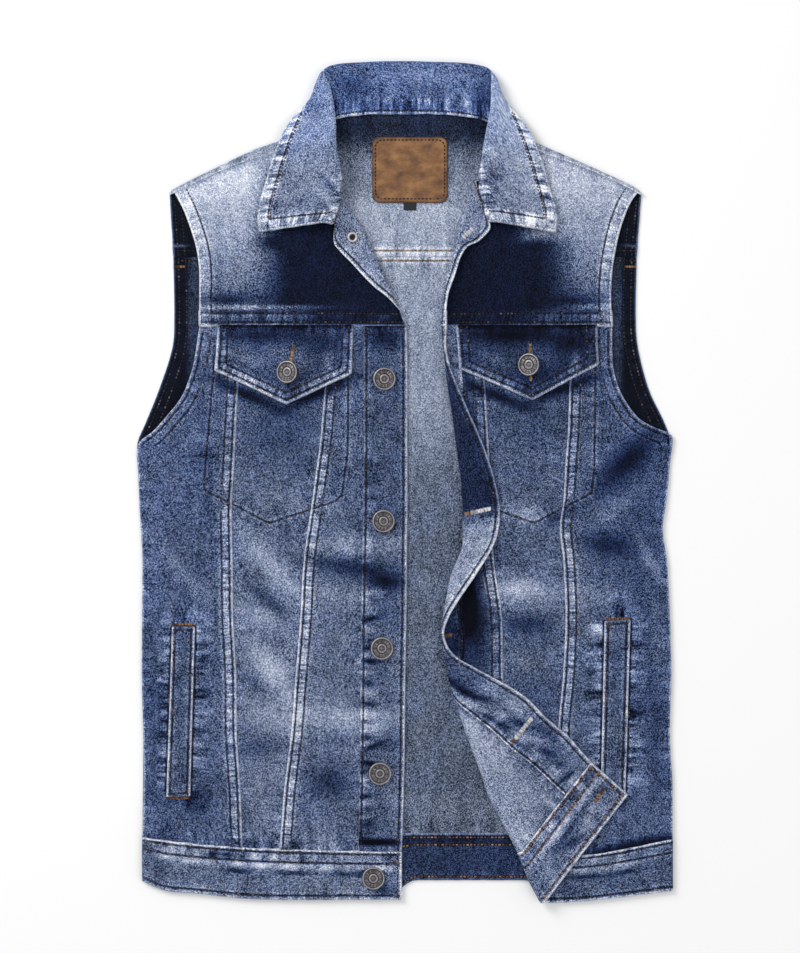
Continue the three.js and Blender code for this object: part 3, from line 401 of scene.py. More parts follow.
class Rows:
    """Rows of cloth that run from a root to a fold, roll over it and lie back on themselves.
    s is measured from the free edge, h from the face outside the roll to the one inside."""

    def __init__(self, root, fold, inward, radius, turn, edge, height, drop=0.0, shift=None, upright=False):
        self.root, self.fold, self.inward = root, fold, inward
        self.radius, self.turn, self.height, self.drop = radius, turn, height, drop
        self.shift, self.upright = shift, upright
        self.start = fold + inward * radius[:, None]
        axis = 1 if upright else 0
        self.flat = np.abs(self.start[:, axis] - root[:, axis])
        self.arc = radius * turn
        over = np.where((turn < np.pi - 1e-6)[:, None], 0.0, edge - self.start)
        self.over = over
        self.top = np.linalg.norm(over, axis=1)
        self.base = height(self.start[:, 0], self.start[:, 1])
        self.length = self.flat + self.arc + self.top

    def spread(self, start, stop, count, density=5):
        """Distances along each row, closer together where it rolls."""
        top, arc = self.top[:, None], self.arc[:, None]

        def weight(s):
            return s + (density - 1) * np.clip(s - top, 0, arc)

        w = mix(weight(start[:, None]), weight(stop[:, None]), np.linspace(0, 1, count)[None, :])
        inside = (w - top) / density
        beyond = w - (density - 1) * arc
        return np.where(w <= top, w, np.where(inside <= arc, top + inside, beyond))

    def place(self, s, h):
        def c(a):
            return a[:, None]

        radius, top, arc = c(self.radius), c(self.top), c(self.arc)
        t = (top - s) / np.maximum(top, 1e-6)
        sink = np.minimum(self.drop, FOLD_SLOPE * (top - s))
        start_x, start_y, base = c(self.start[:, 0]), c(self.start[:, 1]), c(self.base)
        root_x, root_y = c(self.root[:, 0]), c(self.root[:, 1])
        fold_x, fold_y = c(self.fold[:, 0]), c(self.fold[:, 1])
        lying = [start_x + c(self.over[:, 0]) * t, start_y + c(self.over[:, 1]) * t,
                 base + 2 * radius - sink - h]
        angle = c(self.turn) - (s - top) / np.maximum(radius, 1e-6)
        out = (radius - h) * np.sin(angle)
        bent = [start_x - c(self.inward[:, 0]) * out, start_y - c(self.inward[:, 1]) * out,
                base + radius - (radius - h) * np.cos(angle)]
        t = (s - top - arc) / c(self.flat)
        x = mix(start_x, root_x, t)
        if self.upright:
            y = mix(start_y, root_y, t)
            low = [x, y, self.height(x, y) + h]
        else:
            steep = (root_y - fold_y) / (root_x - fold_x)
            y = fold_y + steep * (x - fold_x)
            y = y + (start_y - fold_y - steep * (start_x - fold_x)) * (1 - ease(0, ROW_EASE, s - top - arc))
            moved = self.shift(x, y) if self.shift else 0.0
            low = [x, y + moved, self.height(x, y) + h]
        lies, bends = s < top, s < top + arc
        return np.stack([np.where(lies, a, np.where(bends, b, d)) for a, b, d in zip(lying, bent, low)], -1)


def left_inward(y):
    at = np.clip(y, HEM_SEAM + 4, YOKE_SEAM - 4)
    slope = (LEFT_FOLD("foldX", at + 4) - LEFT_FOLD("foldX", at - 4)) / 8
    return across(slope * (1 - ease(YOKE_SEAM - 18, YOKE_SEAM - 1, y)), np.ones_like(y), 1)


def left_rows(y):
    fold = np.stack([LEFT_FOLD("foldX", y), y], -1)
    inward, radius = left_inward(y), LEFT_FOLD("radius", y)
    edge = np.stack([LEFT_FOLD("edgeX", y), LEFT_FOLD("edgeY", y)], -1)
    root = np.stack([LEFT_SEAMS("side", y), y], -1)
    turn = rolled(fold, inward, radius, edge)
    return Rows(root, fold, inward, radius, turn, edge, front_height, FRONT_SINK, waist_shift)


def left_waist_rows(v):
    fold = np.stack([LEFT_WAIST_FOLD("foldX", v), LEFT_WAIST_FOLD("foldY", v)], -1)
    inward = np.repeat(left_inward(np.array([HEM_SEAM])), len(v), 0)
    edge = np.stack([LEFT_WAIST_FOLD("edgeX", v), LEFT_WAIST_FOLD("edgeY", v)], -1)
    root = np.stack([np.full(len(v), LEFT_SIDE_X), fold[:, 1]], -1)
    radius = np.full(len(v), WAIST_ROLL)

    def shift(x, y):
        return mix(WAIST_SEAM("y", x) - WAIST_GAP, HEM_LINE("y", x), v[:, None]) - fold[:, 1:]

    return Rows(root, fold, inward, radius, np.full(len(v), np.pi), edge,
                lambda x, y: front_height(x, np.full_like(x, HEM_SEAM)), FRONT_SINK, shift)


def yoke_top(yoke, x):
    share = (x - yoke("armX", YOKE_ROWS)) / (yoke("edgeX", YOKE_ROWS) - yoke("armX", YOKE_ROWS))
    return mix(yoke("armY", YOKE_ROWS), yoke("edgeY", YOKE_ROWS), share)


def yoke_rows(yoke, side, k):
    fold = np.stack([yoke("foldX", k), yoke("foldY", k)], -1)
    ahead, behind = np.minimum(k + 0.3, YOKE_ROWS), np.maximum(k - 0.3, 0)
    lean = ease(0, 1, k) * (yoke("foldX", ahead) - yoke("foldX", behind))
    inward = across(lean, yoke("foldY", ahead) - yoke("foldY", behind), side)
    edge = np.stack([yoke("edgeX", k), yoke("edgeY", k)], -1)
    wanted = np.radians(np.clip(yoke("turn", k), 0, 180))
    radius = np.where(wanted < 0.02, 0.0, yoke("radius", k))
    turn = np.where(radius > 0, np.minimum(wanted, rolled(fold, inward, radius, edge)), 0.0)
    root = np.stack([yoke("armX", k), yoke("armY", k)], -1)

    def shift(x, y):
        up = SHOULDER_SEAM("y", x) - SHOULDER_GAP - yoke_top(yoke, x)
        return (k[:, None] / YOKE_ROWS) ** 2 * up

    return Rows(root, fold, inward, radius, turn, edge, front_height, LAPEL_SINK, shift)


def between_keys(keys, grid, wanted):
    """Smooth rows between key rows, each a line of points."""
    last = len(keys) - 1
    a, b = np.maximum(np.arange(last + 1) - 1, 0), np.minimum(np.arange(last + 1) + 1, last)
    slope = (grid[b] - grid[a]) / (keys[b] - keys[a])[:, None, None]
    i = np.clip(np.searchsorted(keys, wanted, side="right") - 1, 0, last - 1)
    width = (keys[i + 1] - keys[i])[:, None, None]
    t = ((wanted - keys[i])[:, None, None]) / width
    rise = grid[i + 1] - grid[i]
    p, q = slope[i] * width - rise, rise - slope[i + 1] * width
    return mix(grid[i], grid[i + 1], t) + t * (1 - t) * (p * (1 - t) + q * t)


# Grids of points
def ladder(length, cell, near, far):
    """Distances over a length: set steps near both ends and even ones between."""
    inner = np.arange(1, max(2, round((length - near[-1] - far[-1]) / cell)))
    inner = near[-1] + inner * (length - near[-1] - far[-1]) / (len(inner) + 1)
    return np.concatenate([near, inner, length - np.array(far[::-1])])


def columns(lengths, count, near, far):
    """The same for rows of different lengths, with one number of columns."""
    inner = np.linspace(0, 1, count + 2)[1:-1][None, :]
    left = np.repeat(np.array(near, float)[None, :], len(lengths), 0)
    right = lengths[:, None] - np.array(far[::-1], float)[None, :]
    return np.concatenate([left, mix(left[:, -1:], right[:, :1], inner), right], 1)


def like(values, grid):
    """One value for each row of a grid."""
    return np.repeat(values[:, None], grid.shape[1], 1)


# Steps beside an edge, a raised seam band and a plain seam
EDGE = (0.0, 0.6, 1.4, 2.6)
FINE_EDGE = (0, 0.6, 1.4, 3)
RAISED = (0.0, 0.6, 1.4, 3.0, 5.0, 7.0, 8.8, 9.8, 10.8, 12.4)
PLAIN = (0.0, 0.8, 2.0)


def grid_normals(grid):
    along = np.gradient(grid, axis=0)
    over = np.gradient(grid, axis=1)
    return unit(np.cross(over, along))


def lengths_of(grid):
    """Distance along each row from its first column, and along each column from its first row."""
    rows = np.zeros(grid.shape[:2])
    cols = np.zeros(grid.shape[:2])
    rows[:, 1:] = np.cumsum(np.linalg.norm(np.diff(grid, axis=1), axis=2), 1)
    cols[1:] = np.cumsum(np.linalg.norm(np.diff(grid, axis=0), axis=2), 0)
    return rows, cols


def near_line(points, line, signed=False):
    """Distance to a line in the plane, and how far along the line the nearest point is."""
    flat = points.reshape(-1, 2)
    a, b = line[:-1], line[1:]
    step = b - a
    length = np.linalg.norm(step, axis=1)
    run = np.concatenate([[0], np.cumsum(length)])
    t = ((flat[:, None, :] - a) * step).sum(2) / (length ** 2)
    t = np.clip(t, 0, 1)
    gap = np.linalg.norm(flat[:, None, :] - (a + t[..., None] * step), axis=2)
    k = gap.argmin(1)
    rows = np.arange(len(flat))
    dist = gap[rows, k]
    if signed:
        off = flat - a[k]
        dist = np.where(step[k, 0] * off[:, 1] - step[k, 1] * off[:, 0] < 0, -dist, dist)
    return dist.reshape(points.shape[:2]), (run[k] + t[rows, k] * length[k]).reshape(points.shape[:2])


class Side:
    """One seam or edge of a piece: the distance to it, the place along it and what it does."""

    def __init__(self, dist, run, band=0.0, rise=0.0, rope=1.0, wear=0.0, reach=9.0, pucker=0.35, wide=1.5,
                 rows=(NO_ROW, NO_ROW), ladder=0.0, shadow=0.0, ridge=0.0):
        self.dist, self.run = np.broadcast_arrays(dist, run)
        self.band, self.rise, self.rope, self.wear = band, rise, rope, wear
        self.reach, self.pucker, self.wide = reach, pucker, wide
        self.rows, self.ladder, self.shadow, self.ridge = rows, ladder, shadow, ridge


def edges_of(grid):
    """Distance and place for the four sides of a grid: first and last column, first and last row."""
    rows, cols = lengths_of(grid)
    return {
        "a": (rows, np.repeat(cols[:, :1], grid.shape[1], 1)),
        "b": (rows[:, -1:] - rows, np.repeat(cols[:, -1:], grid.shape[1], 1)),
        "low": (cols, np.repeat(rows[:1], grid.shape[0], 0)),
        "high": (cols[-1:] - cols, np.repeat(rows[-1:], grid.shape[0], 0)),
    }


# How far the puckers of one side and of one piece are shifted from the next one's
SIDE_STEP = 131.7
PIECE_STEP = 17.3


def dress(shape, sides, seed):
    """Relief of a face and the fields that its material reads."""
    relief, wear = np.zeros(shape), np.zeros(shape)
    near, run, rope, band = np.full(shape, FAR), np.zeros(shape), np.zeros(shape), np.zeros(shape)
    row_a, row_b = np.full(shape, NO_ROW), np.full(shape, NO_ROW)
    for k, side in enumerate(sides):
        d, r = np.abs(side.dist), side.run + SIDE_STEP * (k + 1) + PIECE_STEP * seed
        if side.rise:
            relief = relief + side.rise * (1 - ease(side.band - 0.4, side.band + 0.9, d))
        drawn = side.rope * np.exp(-(d / side.reach) ** 2)
        relief = relief + side.pucker * drawn * (2 * noise(r / 5.0, d / 16, seed + k) - 1)
        wear = np.maximum(wear, side.wear * (1 - ease(0.2, side.wide, d)))
        wear = np.maximum(wear, side.ridge * (1 - ease(0.2, 1.2, np.abs(d - side.band))))
        # Painted shadow: a dark line beside the seam, taken off the pale worn edge in the same field.
        wear = wear - side.shadow * 0.3 * np.exp(-(d / 2.2) ** 2)
        closer = d < np.abs(near)
        near = np.where(closer, side.dist, near)
        run = np.where(closer, r, run)
        rope = np.where(closer, side.rope, rope)
        within = ease(1.0, 2.5, d) * (1 - ease(side.band - 2.0, side.band, d))
        band = np.where(closer, side.ladder * within, band)
        row_a, row_b = np.where(closer, side.rows[0], row_a), np.where(closer, side.rows[1], row_b)
    return relief, {"wear": wear, "near": near, "run": run, "rope": rope, "band": band,
                    "row_a": row_a, "row_b": row_b}


def in_frame(points):
    """Points in the frame's metres."""
    return (points - [ORIGIN[0], ORIGIN[1], 0]) / 1000


def add_piece(title, points, faces, fields, material, node=None, slot=None):
    """Adds a smooth mesh with the fields that its material reads."""
    mesh = bpy.data.meshes.new(title)
    mesh.from_pydata(points.tolist(), [], faces)
    mesh.polygons.foreach_set("use_smooth", [True] * len(faces))
    for key, data in fields.items():
        kind, part = ("FLOAT_VECTOR", "vector") if data.ndim == 2 else ("FLOAT", "value")
        mesh.attributes.new(key, kind, "POINT").data.foreach_set(part, data.astype(np.float32).ravel())
    mesh.materials.append(material)
    piece = bpy.data.objects.new(title, mesh)
    bpy.context.scene.collection.objects.link(piece)
    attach(piece, "root")
    if node:
        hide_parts(node)
    return piece


PIECES = {}


def shell(name, outer, inner, fields, inner_fields, material, slot, held, rests_on):
    """A closed wall with rounded rims between two grids of points, as one cloth piece."""
    rows, cols = outer.shape[:2]
    index = np.arange(rows * cols).reshape(rows, cols)
    loop = np.concatenate([index[0, :], index[1:, -1], index[-1, -2::-1], index[-2:0:-1, 0]])
    flat_outer, flat_inner = outer.reshape(-1, 3), inner.reshape(-1, 3)
    middle = (outer + inner) / 2
    inward = np.zeros_like(middle)
    inward[0] = middle[1] - middle[0]
    inward[-1] = middle[-2] - middle[-1]
    inward[:, 0] += unit(middle[:, 1] - middle[:, 0])
    inward[:, -1] += unit(middle[:, -2] - middle[:, -1])
    thick = np.linalg.norm(flat_outer - flat_inner, axis=1)[loop, None]
    rim = (flat_outer[loop] + flat_inner[loop]) / 2 - unit(inward.reshape(-1, 3)[loop]) * thick * RIM_BULGE
    half = rows * cols
    a = index[:-1, :-1].ravel()
    face = np.stack([a, a + 1, a + cols + 1, a + cols], 1)
    ring = 2 * half + np.arange(len(loop))
    after, ring_after = np.roll(loop, -1), np.roll(ring, -1)
    faces = np.concatenate([face, face[:, ::-1] + half, np.stack([after, loop, ring, ring_after], 1),
                            np.stack([ring_after, ring, half + loop, half + after], 1)])
    world = in_frame(np.concatenate([flat_outer, flat_inner, rim]))
    p = world[faces]
    volume = (p[:, 0] * np.cross(p[:, 1] - p[:, 0], p[:, 2] - p[:, 0])).sum()
    volume += (p[:, 0] * np.cross(p[:, 2] - p[:, 0], p[:, 3] - p[:, 0])).sum()
    if volume < 0:
        faces = faces[:, ::-1]
    data = {}
    for key, grid in fields.items():
        one, two = (g.reshape(-1, 3) if g.ndim == 3 else g.ravel() for g in (grid, inner_fields[key]))
        ends = np.maximum(one[loop], two[loop]) if key == "wear" else (one[loop] + two[loop]) / 2
        data[key] = np.concatenate([one, two, ends])
    piece = add_piece(f"{name}_{slot.split('_')[0]}", world, faces.tolist(), data, material, name, slot)
    along, up = lengths_of(middle)
    width, length = (max(MIN_SHEET, distance.max() / 1000) for distance in (along[:, -1], up[-1]))
    cell = np.cross(middle[1:, 1:] - middle[:-1, :-1], middle[1:, :-1] - middle[:-1, 1:])
    area = np.linalg.norm(cell, axis=2).sum() / 2e6
    min(area, width * length)
    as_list(rests_on)
    PIECES[name] = {"outer": outer, "inner": inner, "world": world, "faces": faces}


# Materials
def linear(colour):
    c = np.array(colour, float) / 255
    return [*np.where(c <= 0.04045, c / 12.92, ((c + 0.055) / 1.055) ** 2.4), 1.0]


class Value:
    """A shader output that adds, subtracts and multiplies like a number."""

    def __init__(self, nodes, socket):
        self.nodes, self.socket = nodes, socket

    def __add__(self, other):
        return self.nodes.math("ADD", self, other)

    def __sub__(self, other):
        return self.nodes.math("SUBTRACT", self, other)

    def __mul__(self, other):
        return self.nodes.math("MULTIPLY", self, other)


class Nodes:
    """Short ways to add shader nodes and join them."""

    def __init__(self, name):
        self.material = bpy.data.materials.new(name)
        self.material.use_nodes = True
        self.tree = self.material.node_tree
        self.shader = self.tree.nodes["Principled BSDF"]

    def put(self, socket, value):
        value = value.socket if isinstance(value, Value) else value
        if isinstance(value, bpy.types.NodeSocket):
            self.tree.links.new(value, socket)
        else:
            socket.default_value = value

    def node(self, kind, inputs=(), **settings):
        node = self.tree.nodes.new(kind)
        for key, value in settings.items():
            setattr(node, key, value)
        for key, value in dict(inputs).items():
            self.put(node.inputs[key], value)
        return node

    def number(self, name):
        return Value(self, self.node("ShaderNodeAttribute", attribute_name=name).outputs["Fac"])

    def cloth(self):
        return self.node("ShaderNodeAttribute", attribute_name="cloth").outputs["Vector"]

    def math(self, operation, *values, clamp=False):
        node = self.node("ShaderNodeMath", operation=operation, use_clamp=clamp)
        for socket, value in zip(node.inputs, values):
            self.put(socket, value)
        return Value(self, node.outputs[0])

    def point(self, x, y, z=0.0):
        return self.node("ShaderNodeCombineXYZ", {"X": x, "Y": y, "Z": z}).outputs[0]

    def scaled(self, vector, scale):
        return self.node("ShaderNodeVectorMath", {0: vector, 1: scale}, operation="MULTIPLY").outputs[0]

    def noise(self, vector, scale, detail=2.0, roughness=0.5):
        inputs = {"Vector": vector, "Scale": scale, "Detail": detail, "Roughness": roughness}
        return Value(self, self.node("ShaderNodeTexNoise", inputs).outputs["Fac"])

    def centred(self, value, amount):
        return (value - 0.5) * amount

    def fall(self, amount):
        return self.math("POWER", EULER, amount)

    def ramp(self, value, stops):
        node = self.node("ShaderNodeValToRGB", {"Fac": value})
        ramp = node.color_ramp
        while len(ramp.elements) < len(stops):
            ramp.elements.new(0.5)
        for element, (position, colour) in zip(ramp.elements, stops):
            element.position = position
            element.color = linear(colour)
        return node.outputs["Color"]

    def finish(self, colour, roughness, height=None, depth=0.0005, strength=0.7):
        self.put(self.shader.inputs["Base Color"], colour)
        self.shader.inputs["Roughness"].default_value = roughness
        if height is not None:
            bump = self.node("ShaderNodeBump", {"Height": height, "Distance": depth, "Strength": strength})
            self.put(self.shader.inputs["Normal"], bump.outputs["Normal"])
        return self.material


EULER = 2.718

# Colours of the denim's outside, of its inside and of its bluer places, by tone
OUTSIDE = [
    (0.02, (4, 6, 14)), (0.09, (16, 22, 38)), (0.16, (29, 40, 65)), (0.24, (43, 58, 89)),
    (0.33, (66, 82, 113)), (0.45, (99, 113, 142)), (0.58, (136, 147, 174)), (0.70, (167, 178, 203)),
    (0.82, (201, 208, 226)), (0.92, (229, 233, 243)), (1.0, (251, 252, 254)),
]
INSIDE = [
    (0.03, (6, 9, 16)), (0.12, (22, 30, 45)), (0.22, (44, 54, 74)), (0.33, (71, 82, 103)),
    (0.43, (95, 107, 128)), (0.58, (135, 147, 171)), (0.72, (171, 181, 204)), (0.86, (212, 217, 231)),
    (1.0, (250, 251, 253)),
]
BLUER = [
    (0.02, (4, 6, 18)), (0.09, (14, 20, 44)), (0.16, (24, 36, 76)), (0.24, (36, 53, 104)),
    (0.33, (53, 77, 130)), (0.45, (82, 108, 163)), (0.58, (118, 143, 196)), (0.70, (153, 174, 219)),
    (0.82, (194, 206, 235)), (0.92, (226, 232, 246)), (1.0, (251, 252, 254)),
]

# Width and length of what one thread of the twill shows, and how the cloth's parts change its tone
THREAD = (0.52, 0.66)
GRAIN = 0.8
CLOUDS = 0.20
PATCHES = 0.16
ROPING = 1.7
RUNGS = 1.25
RUNG_LIFT = 0.09
# How much the ditches of the sewn rows are darkened with painted shade
DITCH_SHADE = -0.50
HALO = 0.20
MIDDLE_TONE = 0.36


def denim(name, stops, speckle, lean):
    """Twill of dark and light threads over a tone, with dark and light puckers along the seams, painted shade
    in the ditches of the sewn rows and painted shadow beside the seams.
    """
    n = Nodes(name)
    cloth = n.cloth()
    parts = n.node("ShaderNodeSeparateXYZ", {0: cloth}).outputs
    column = n.math("FLOOR", n.math("DIVIDE", parts["X"], THREAD[0]))
    climb = n.math("DIVIDE", parts["Y"], THREAD[1]) + column * lean
    thread = n.point(column, n.math("FLOOR", climb))
    threads = n.node("ShaderNodeTexWhiteNoise", {"Vector": thread}, noise_dimensions="2D").outputs["Value"]
    threads = Value(n, threads)
    grain = n.centred(threads, GRAIN)
    clouds = n.noise(n.scaled(cloth, (1.0, 0.4, 1.0)), 0.11, 1.0)
    patches = n.noise(cloth, 0.028)
    offset, run = n.number("near"), n.number("run")
    near = n.math("ABSOLUTE", offset)
    place = n.point(run, near * 0.22, 3.7)
    roping = n.centred(n.noise(place, 0.15, 2.0, 0.62), ROPING) * (n.number("rope") * n.fall(near * -0.085))
    bar = n.point(run, near * 0.06, 8.1)
    rungs = (n.centred(n.noise(bar, 0.42, 2.0, 0.6), RUNGS) + RUNG_LIFT) * n.number("band")
    apart = [offset - n.number(row) for row in ("row_a", "row_b")]
    squares = [a * a * -1.0 for a in apart]
    ditch = n.fall(squares[0]) + n.fall(squares[1])
    halo = n.fall(squares[0] * 0.16) + n.fall(squares[1] * 0.16)
    tone = n.number("tone")
    amount = n.math("MULTIPLY", tone, 3.2, clamp=True)
    sparkle = amount * n.math("SUBTRACT", 1.12, tone * 0.62)
    spots = n.noise(place, 0.8, 2.0, 0.6)
    # Pale worn edges, and painted shadow beside the seams where the field falls below zero.
    worn_and_shaded = n.number("wear") * (grain * 0.5 + n.centred(spots, 2.2) + 0.62)
    uneven = n.centred(clouds, CLOUDS) + n.centred(patches, PATCHES) + roping + rungs
    # The ditches of the sewn rows are darkened with painted shade.
    uneven = uneven + ditch * DITCH_SHADE + halo * HALO
    value = tone + grain * speckle * sparkle + uneven * amount + worn_and_shaded
    paler = (tone - MIDDLE_TONE) * -1.0
    hue = n.math("ADD", n.number("blue"), n.centred(patches, 0.9) + paler, clamp=True)
    colour = n.node("ShaderNodeMix", data_type="RGBA")
    n.put(colour.inputs["Factor"], hue)
    n.put(colour.inputs[6], n.ramp(value, stops))
    n.put(colour.inputs[7], n.ramp(value, BLUER))
    n.shader.inputs["Specular IOR Level"].default_value = 0.1
    return n.finish(colour.outputs[2], 0.95, threads * 0.3 + (roping + rungs) * 0.9 + ditch * -0.8)


DENIM = denim("denim", OUTSIDE, 1.0, 0.36)
DENIM_INSIDE = denim("denim_inside", INSIDE, 0.85, -0.36)


# Wash of the outside, with painted shadows under the flaps and beside the folded front edge.
# Tones go from 0 (dark) to 1 (white), and each mark has its middle, direction in degrees, half length,
# half width and tone.
WASH_AND_SHADOW_RIGHT = [
    (-123, 285, -50, 40, 10, 0.2), (-122, 249, -42, 27, 7, -0.13), (-129, 238, -28, 29, 8, 0.11),
    (-122, 190, -48, 32, 11, 0.22), (-135, 177, -45, 16, 7, -0.1), (-104, 148, -2, 54, 15, 0.13),
    (-130, 118, 0, 22, 11, -0.09), (-98, 127, -80, 20, 9, 0.08), (-68, 87, -10, 22, 16, -0.13),
    (-132, 71, -90, 27, 9, 0.04), (-107, 50, -90, 16, 6, 0.1), (-54, 302, -6, 23, 9, 0.2),
    (-48, 280, -10, 40, 8, -0.15), (-63, 256, -8, 25, 8, 0.13), (-54, 145, 0, 23, 13, 0.1),
    (-206, 283, -48, 32, 7, 0.1), (-230, 170, -88, 81, 11, -0.03), (-210, 71, 0, 22, 11, -0.05),
    # The first two marks here are painted shadow under the right flap.
    (-142, 436, -25, 36, 5, -0.2), (-75, 438, 25, 34, 5, -0.2), (-112, 400, 0, 31, 23, -0.05),
    (-117, 344, -12, 36, 8, 0.07), (-18, 487, 0, 16, 11, -0.14), (-12, 301, 0, 13, 9, 0.13),
    (-17, 266, -8, 16, 7, -0.14), (-8, 197, -90, 31, 7, 0.06), (-15, 147, 0, 16, 8, 0.12),
    (-21, 121, 0, 14, 6, -0.07), (-11, 71, -90, 22, 6, 0.05), (-63, 481, -80, 22, 5, -0.12),
    (-178, 368, -88, 54, 5, -0.05), (-180, 476, -88, 36, 7, 0.02),
]
WASH_AND_SHADOW_LEFT = [
    # The first two marks here are painted shadow under the left flap.
    (80, 436, -21, 34, 5, -0.22), (145, 442, 22, 32, 5, -0.22), (111, 329, -8, 18, 9, 0.16),
    (136, 325, 20, 16, 6, -0.12), (104, 260, -4, 32, 12, 0.26), (107, 230, 0, 23, 9, -0.13),
    # (55, 246) is painted shadow beside the folded front edge.
    (111, 195, 0, 18, 11, 0.06), (55, 246, -100, 40, 10, -0.2), (151, 278, -80, 36, 7, 0.08),
    (198, 375, 45, 34, 12, -0.17), (195, 337, 38, 27, 6, 0.06), (181, 301, -10, 23, 11, -0.14),
    (220, 287, -62, 22, 4, 0.15), (179, 255, 0, 23, 9, 0.12), (225, 143, -88, 72, 9, -0.06),
    (194, 17, 10, 36, 7, -0.05), (117, 409, 0, 32, 20, -0.04), (166, 215, -88, 36, 7, 0.05),
    (225, 215, -88, 36, 5, 0.05), (58, 386, -80, 54, 9, -0.12),
]


WASH_AND_SHADOW_BROAD = [
    (-122, 205, 90, 105, 42, 0.10), (-64, 200, 90, 90, 26, 0.05), (-122, 75, 90, 50, 22, 0.07),
    (-30, 130, 90, 60, 22, 0.06), (-70, 60, 90, 40, 20, 0.04), (-188, 120, 90, 200, 30, -0.02),
    (104, 255, 90, 45, 44, 0.03), (215, 330, 90, 120, 30, -0.05), (58, 330, 90, 80, 14, -0.05),
    # (64, 228) is painted shadow beside the folded front edge.
    (64, 228, 90, 42, 13, -0.16), (118, 150, 90, 70, 22, -0.04), (205, 27, 0, 45, 4, -0.30),
    (-140, 29, 0, 30, 3, -0.12),
]
BASE_TONE = 0.285
DARKEST = 0.05


def outer_tone(x, y):
    marked_tone = marks(x, y, WASH_AND_SHADOW_BROAD) + 1.3 * marks(x, y, WASH_AND_SHADOW_RIGHT) + 1.2 * marks(x, y, WASH_AND_SHADOW_LEFT)
    return np.clip(BASE_TONE + marked_tone, DARKEST, 1)


# Wash of the yokes, and puckers of the yoke band between its two seam rows
YOKE_WASH = [
    (-100, 618, 20, 40, 10, 0.04), (-157, 522, 0, 45, 9, -0.18), (-160, 556, 0, 45, 20, -0.05),
    (150, 520, 0, 42, 8, -0.14), (140, 560, 80, 30, 16, -0.05),
]
YOKE_CREASES = [
    (-171, 506, 0, 7, 2.2, 0.18), (-153, 505.5, 0, 5, 2.2, 0.15), (-139, 506, 0, 6, 2.2, 0.17),
    (-124, 506, 0, 6, 2.2, 0.15), (-108, 505.5, 0, 5, 2.2, 0.11), (-89, 506, 0, 8, 2.2, 0.08),
    (-62, 506, 0, 7, 2.2, 0.04), (-20, 506, 0, 8, 2.2, 0.06), (-146, 514, 0, 22, 2.0, 0.12),
    (-104, 514, 0, 14, 2.0, 0.12), (-130, 498.6, 0, 34, 1.6, 0.10), (-60, 499, 0, 30, 1.4, 0.05),
    (176, 506, 0, 7, 2.2, 0.20), (161, 506, 0, 4, 2.2, 0.10), (143, 505.5, 0, 6, 2.2, 0.07),
    (124, 506, 0, 5, 2.2, 0.05), (160, 498.8, 0, 24, 1.6, 0.10), (105, 499, 0, 22, 1.4, 0.05),
    (-160, 520, 0, 14, 3.0, -0.08), (150, 520, 0, 16, 3.0, -0.06),
]
YOKE_DARK = 0.06
STREAK_Y = 514.5


def smudge(x, y, low, high, soft):
    """1 inside a box, fading to 0 over its soft edges."""
    sx = ease(low[0] - soft[0], low[0] + soft[0], x) * (1 - ease(high[0] - soft[0], high[0] + soft[0], x))
    sy = ease(low[1] - soft[1], low[1] + soft[1], y) * (1 - ease(high[1] - soft[1], high[1] + soft[1], y))
    return sx * sy


def yoke_tone(x, y):
    """Pale at the shoulders, and dark under the lapels and the collar's wings with darker wash and painted
    shadow of the collar.
    """
    light = 0.36 + 0.10 * ease(520, 555, y) + 0.17 * ease(540, 592, y) + 0.13 * ease(590, 628, y)
    light = light - 0.06 * ease(0, 20, x) + marks(x, y, YOKE_WASH)
    # Boxes of painted shadow, with darker wash, under the lapels and the collar's wings
    right = smudge(x, y, (-124, 470), (40, 640), (22, 20)) + marks(x, y, [(-124, 573, 0, 14, 7, 0.45)])
    left = np.maximum(smudge(x, y, (0, 470), (112, 640), (20, 20)),
                      smudge(x, y, (0, 470), (142, 577), (24, 7)))
    tone = mix(light, YOKE_DARK, 0.97 * np.minimum(1, np.where(x > 0, left, right)))
    lining = 1 - ease(511.5, 513, y)
    deep = np.where(x > 0, 1 - ease(90, 150, x), ease(-110, -70, x))
    tone = mix(tone, 0.15 - 0.09 * deep + 0.16 * ease(165, 184, np.abs(x)), lining)
    streak = np.where(x > 0, ease(130, 180, x), ease(30, 120, -x)) * np.exp(-((y - STREAK_Y) / 1.6) ** 2)
    return tone + 0.22 * streak + marks(x, y, YOKE_CREASES)


BLUE = 0.16
INSIDE_SHIFT = [500.0, 0, 0]


def build(name, place, thickness, sides, tone, cloth, seed, inner_tone=0.5, inner_relief=0.25, crease=0.0,
          blue=BLUE, material=DENIM, slot="denim", held="laid", rests_on=("back_center_panel",)):
    """Makes a piece from a laying function: place(h) gives points at height h through the cloth."""
    shape = cloth.shape[:2]
    relief, fields = dress(shape, sides, seed)
    outer = place(thickness + relief + crease)
    inner = place(crease - inner_relief * relief)
    flat = np.concatenate([cloth, np.zeros((*shape, 1))], 2)
    inner_blue = 0.0 if material is DENIM_INSIDE else blue
    looks = [{"tone": np.broadcast_to(one, shape), "blue": np.broadcast_to(two, shape), "cloth": at, **fields}
             for one, two, at in [(tone, blue, flat), (inner_tone, inner_blue, flat + INSIDE_SHIFT)]]
    shell(name, outer, inner, *looks, material, slot, held, list(rests_on))
    PIECES[name]["sides"] = [side.dist for side in sides]


def plane_of(x, y):
    return np.stack([x, y], -1)


# Small unevenness of the cloth, the same on both faces
def waviness(x, y, seed):
    return 0.55 * (noise(x / 34, y / 46, seed) - 0.5) + 0.25 * (noise(x / 13, y / 19, seed + 5) - 0.5)


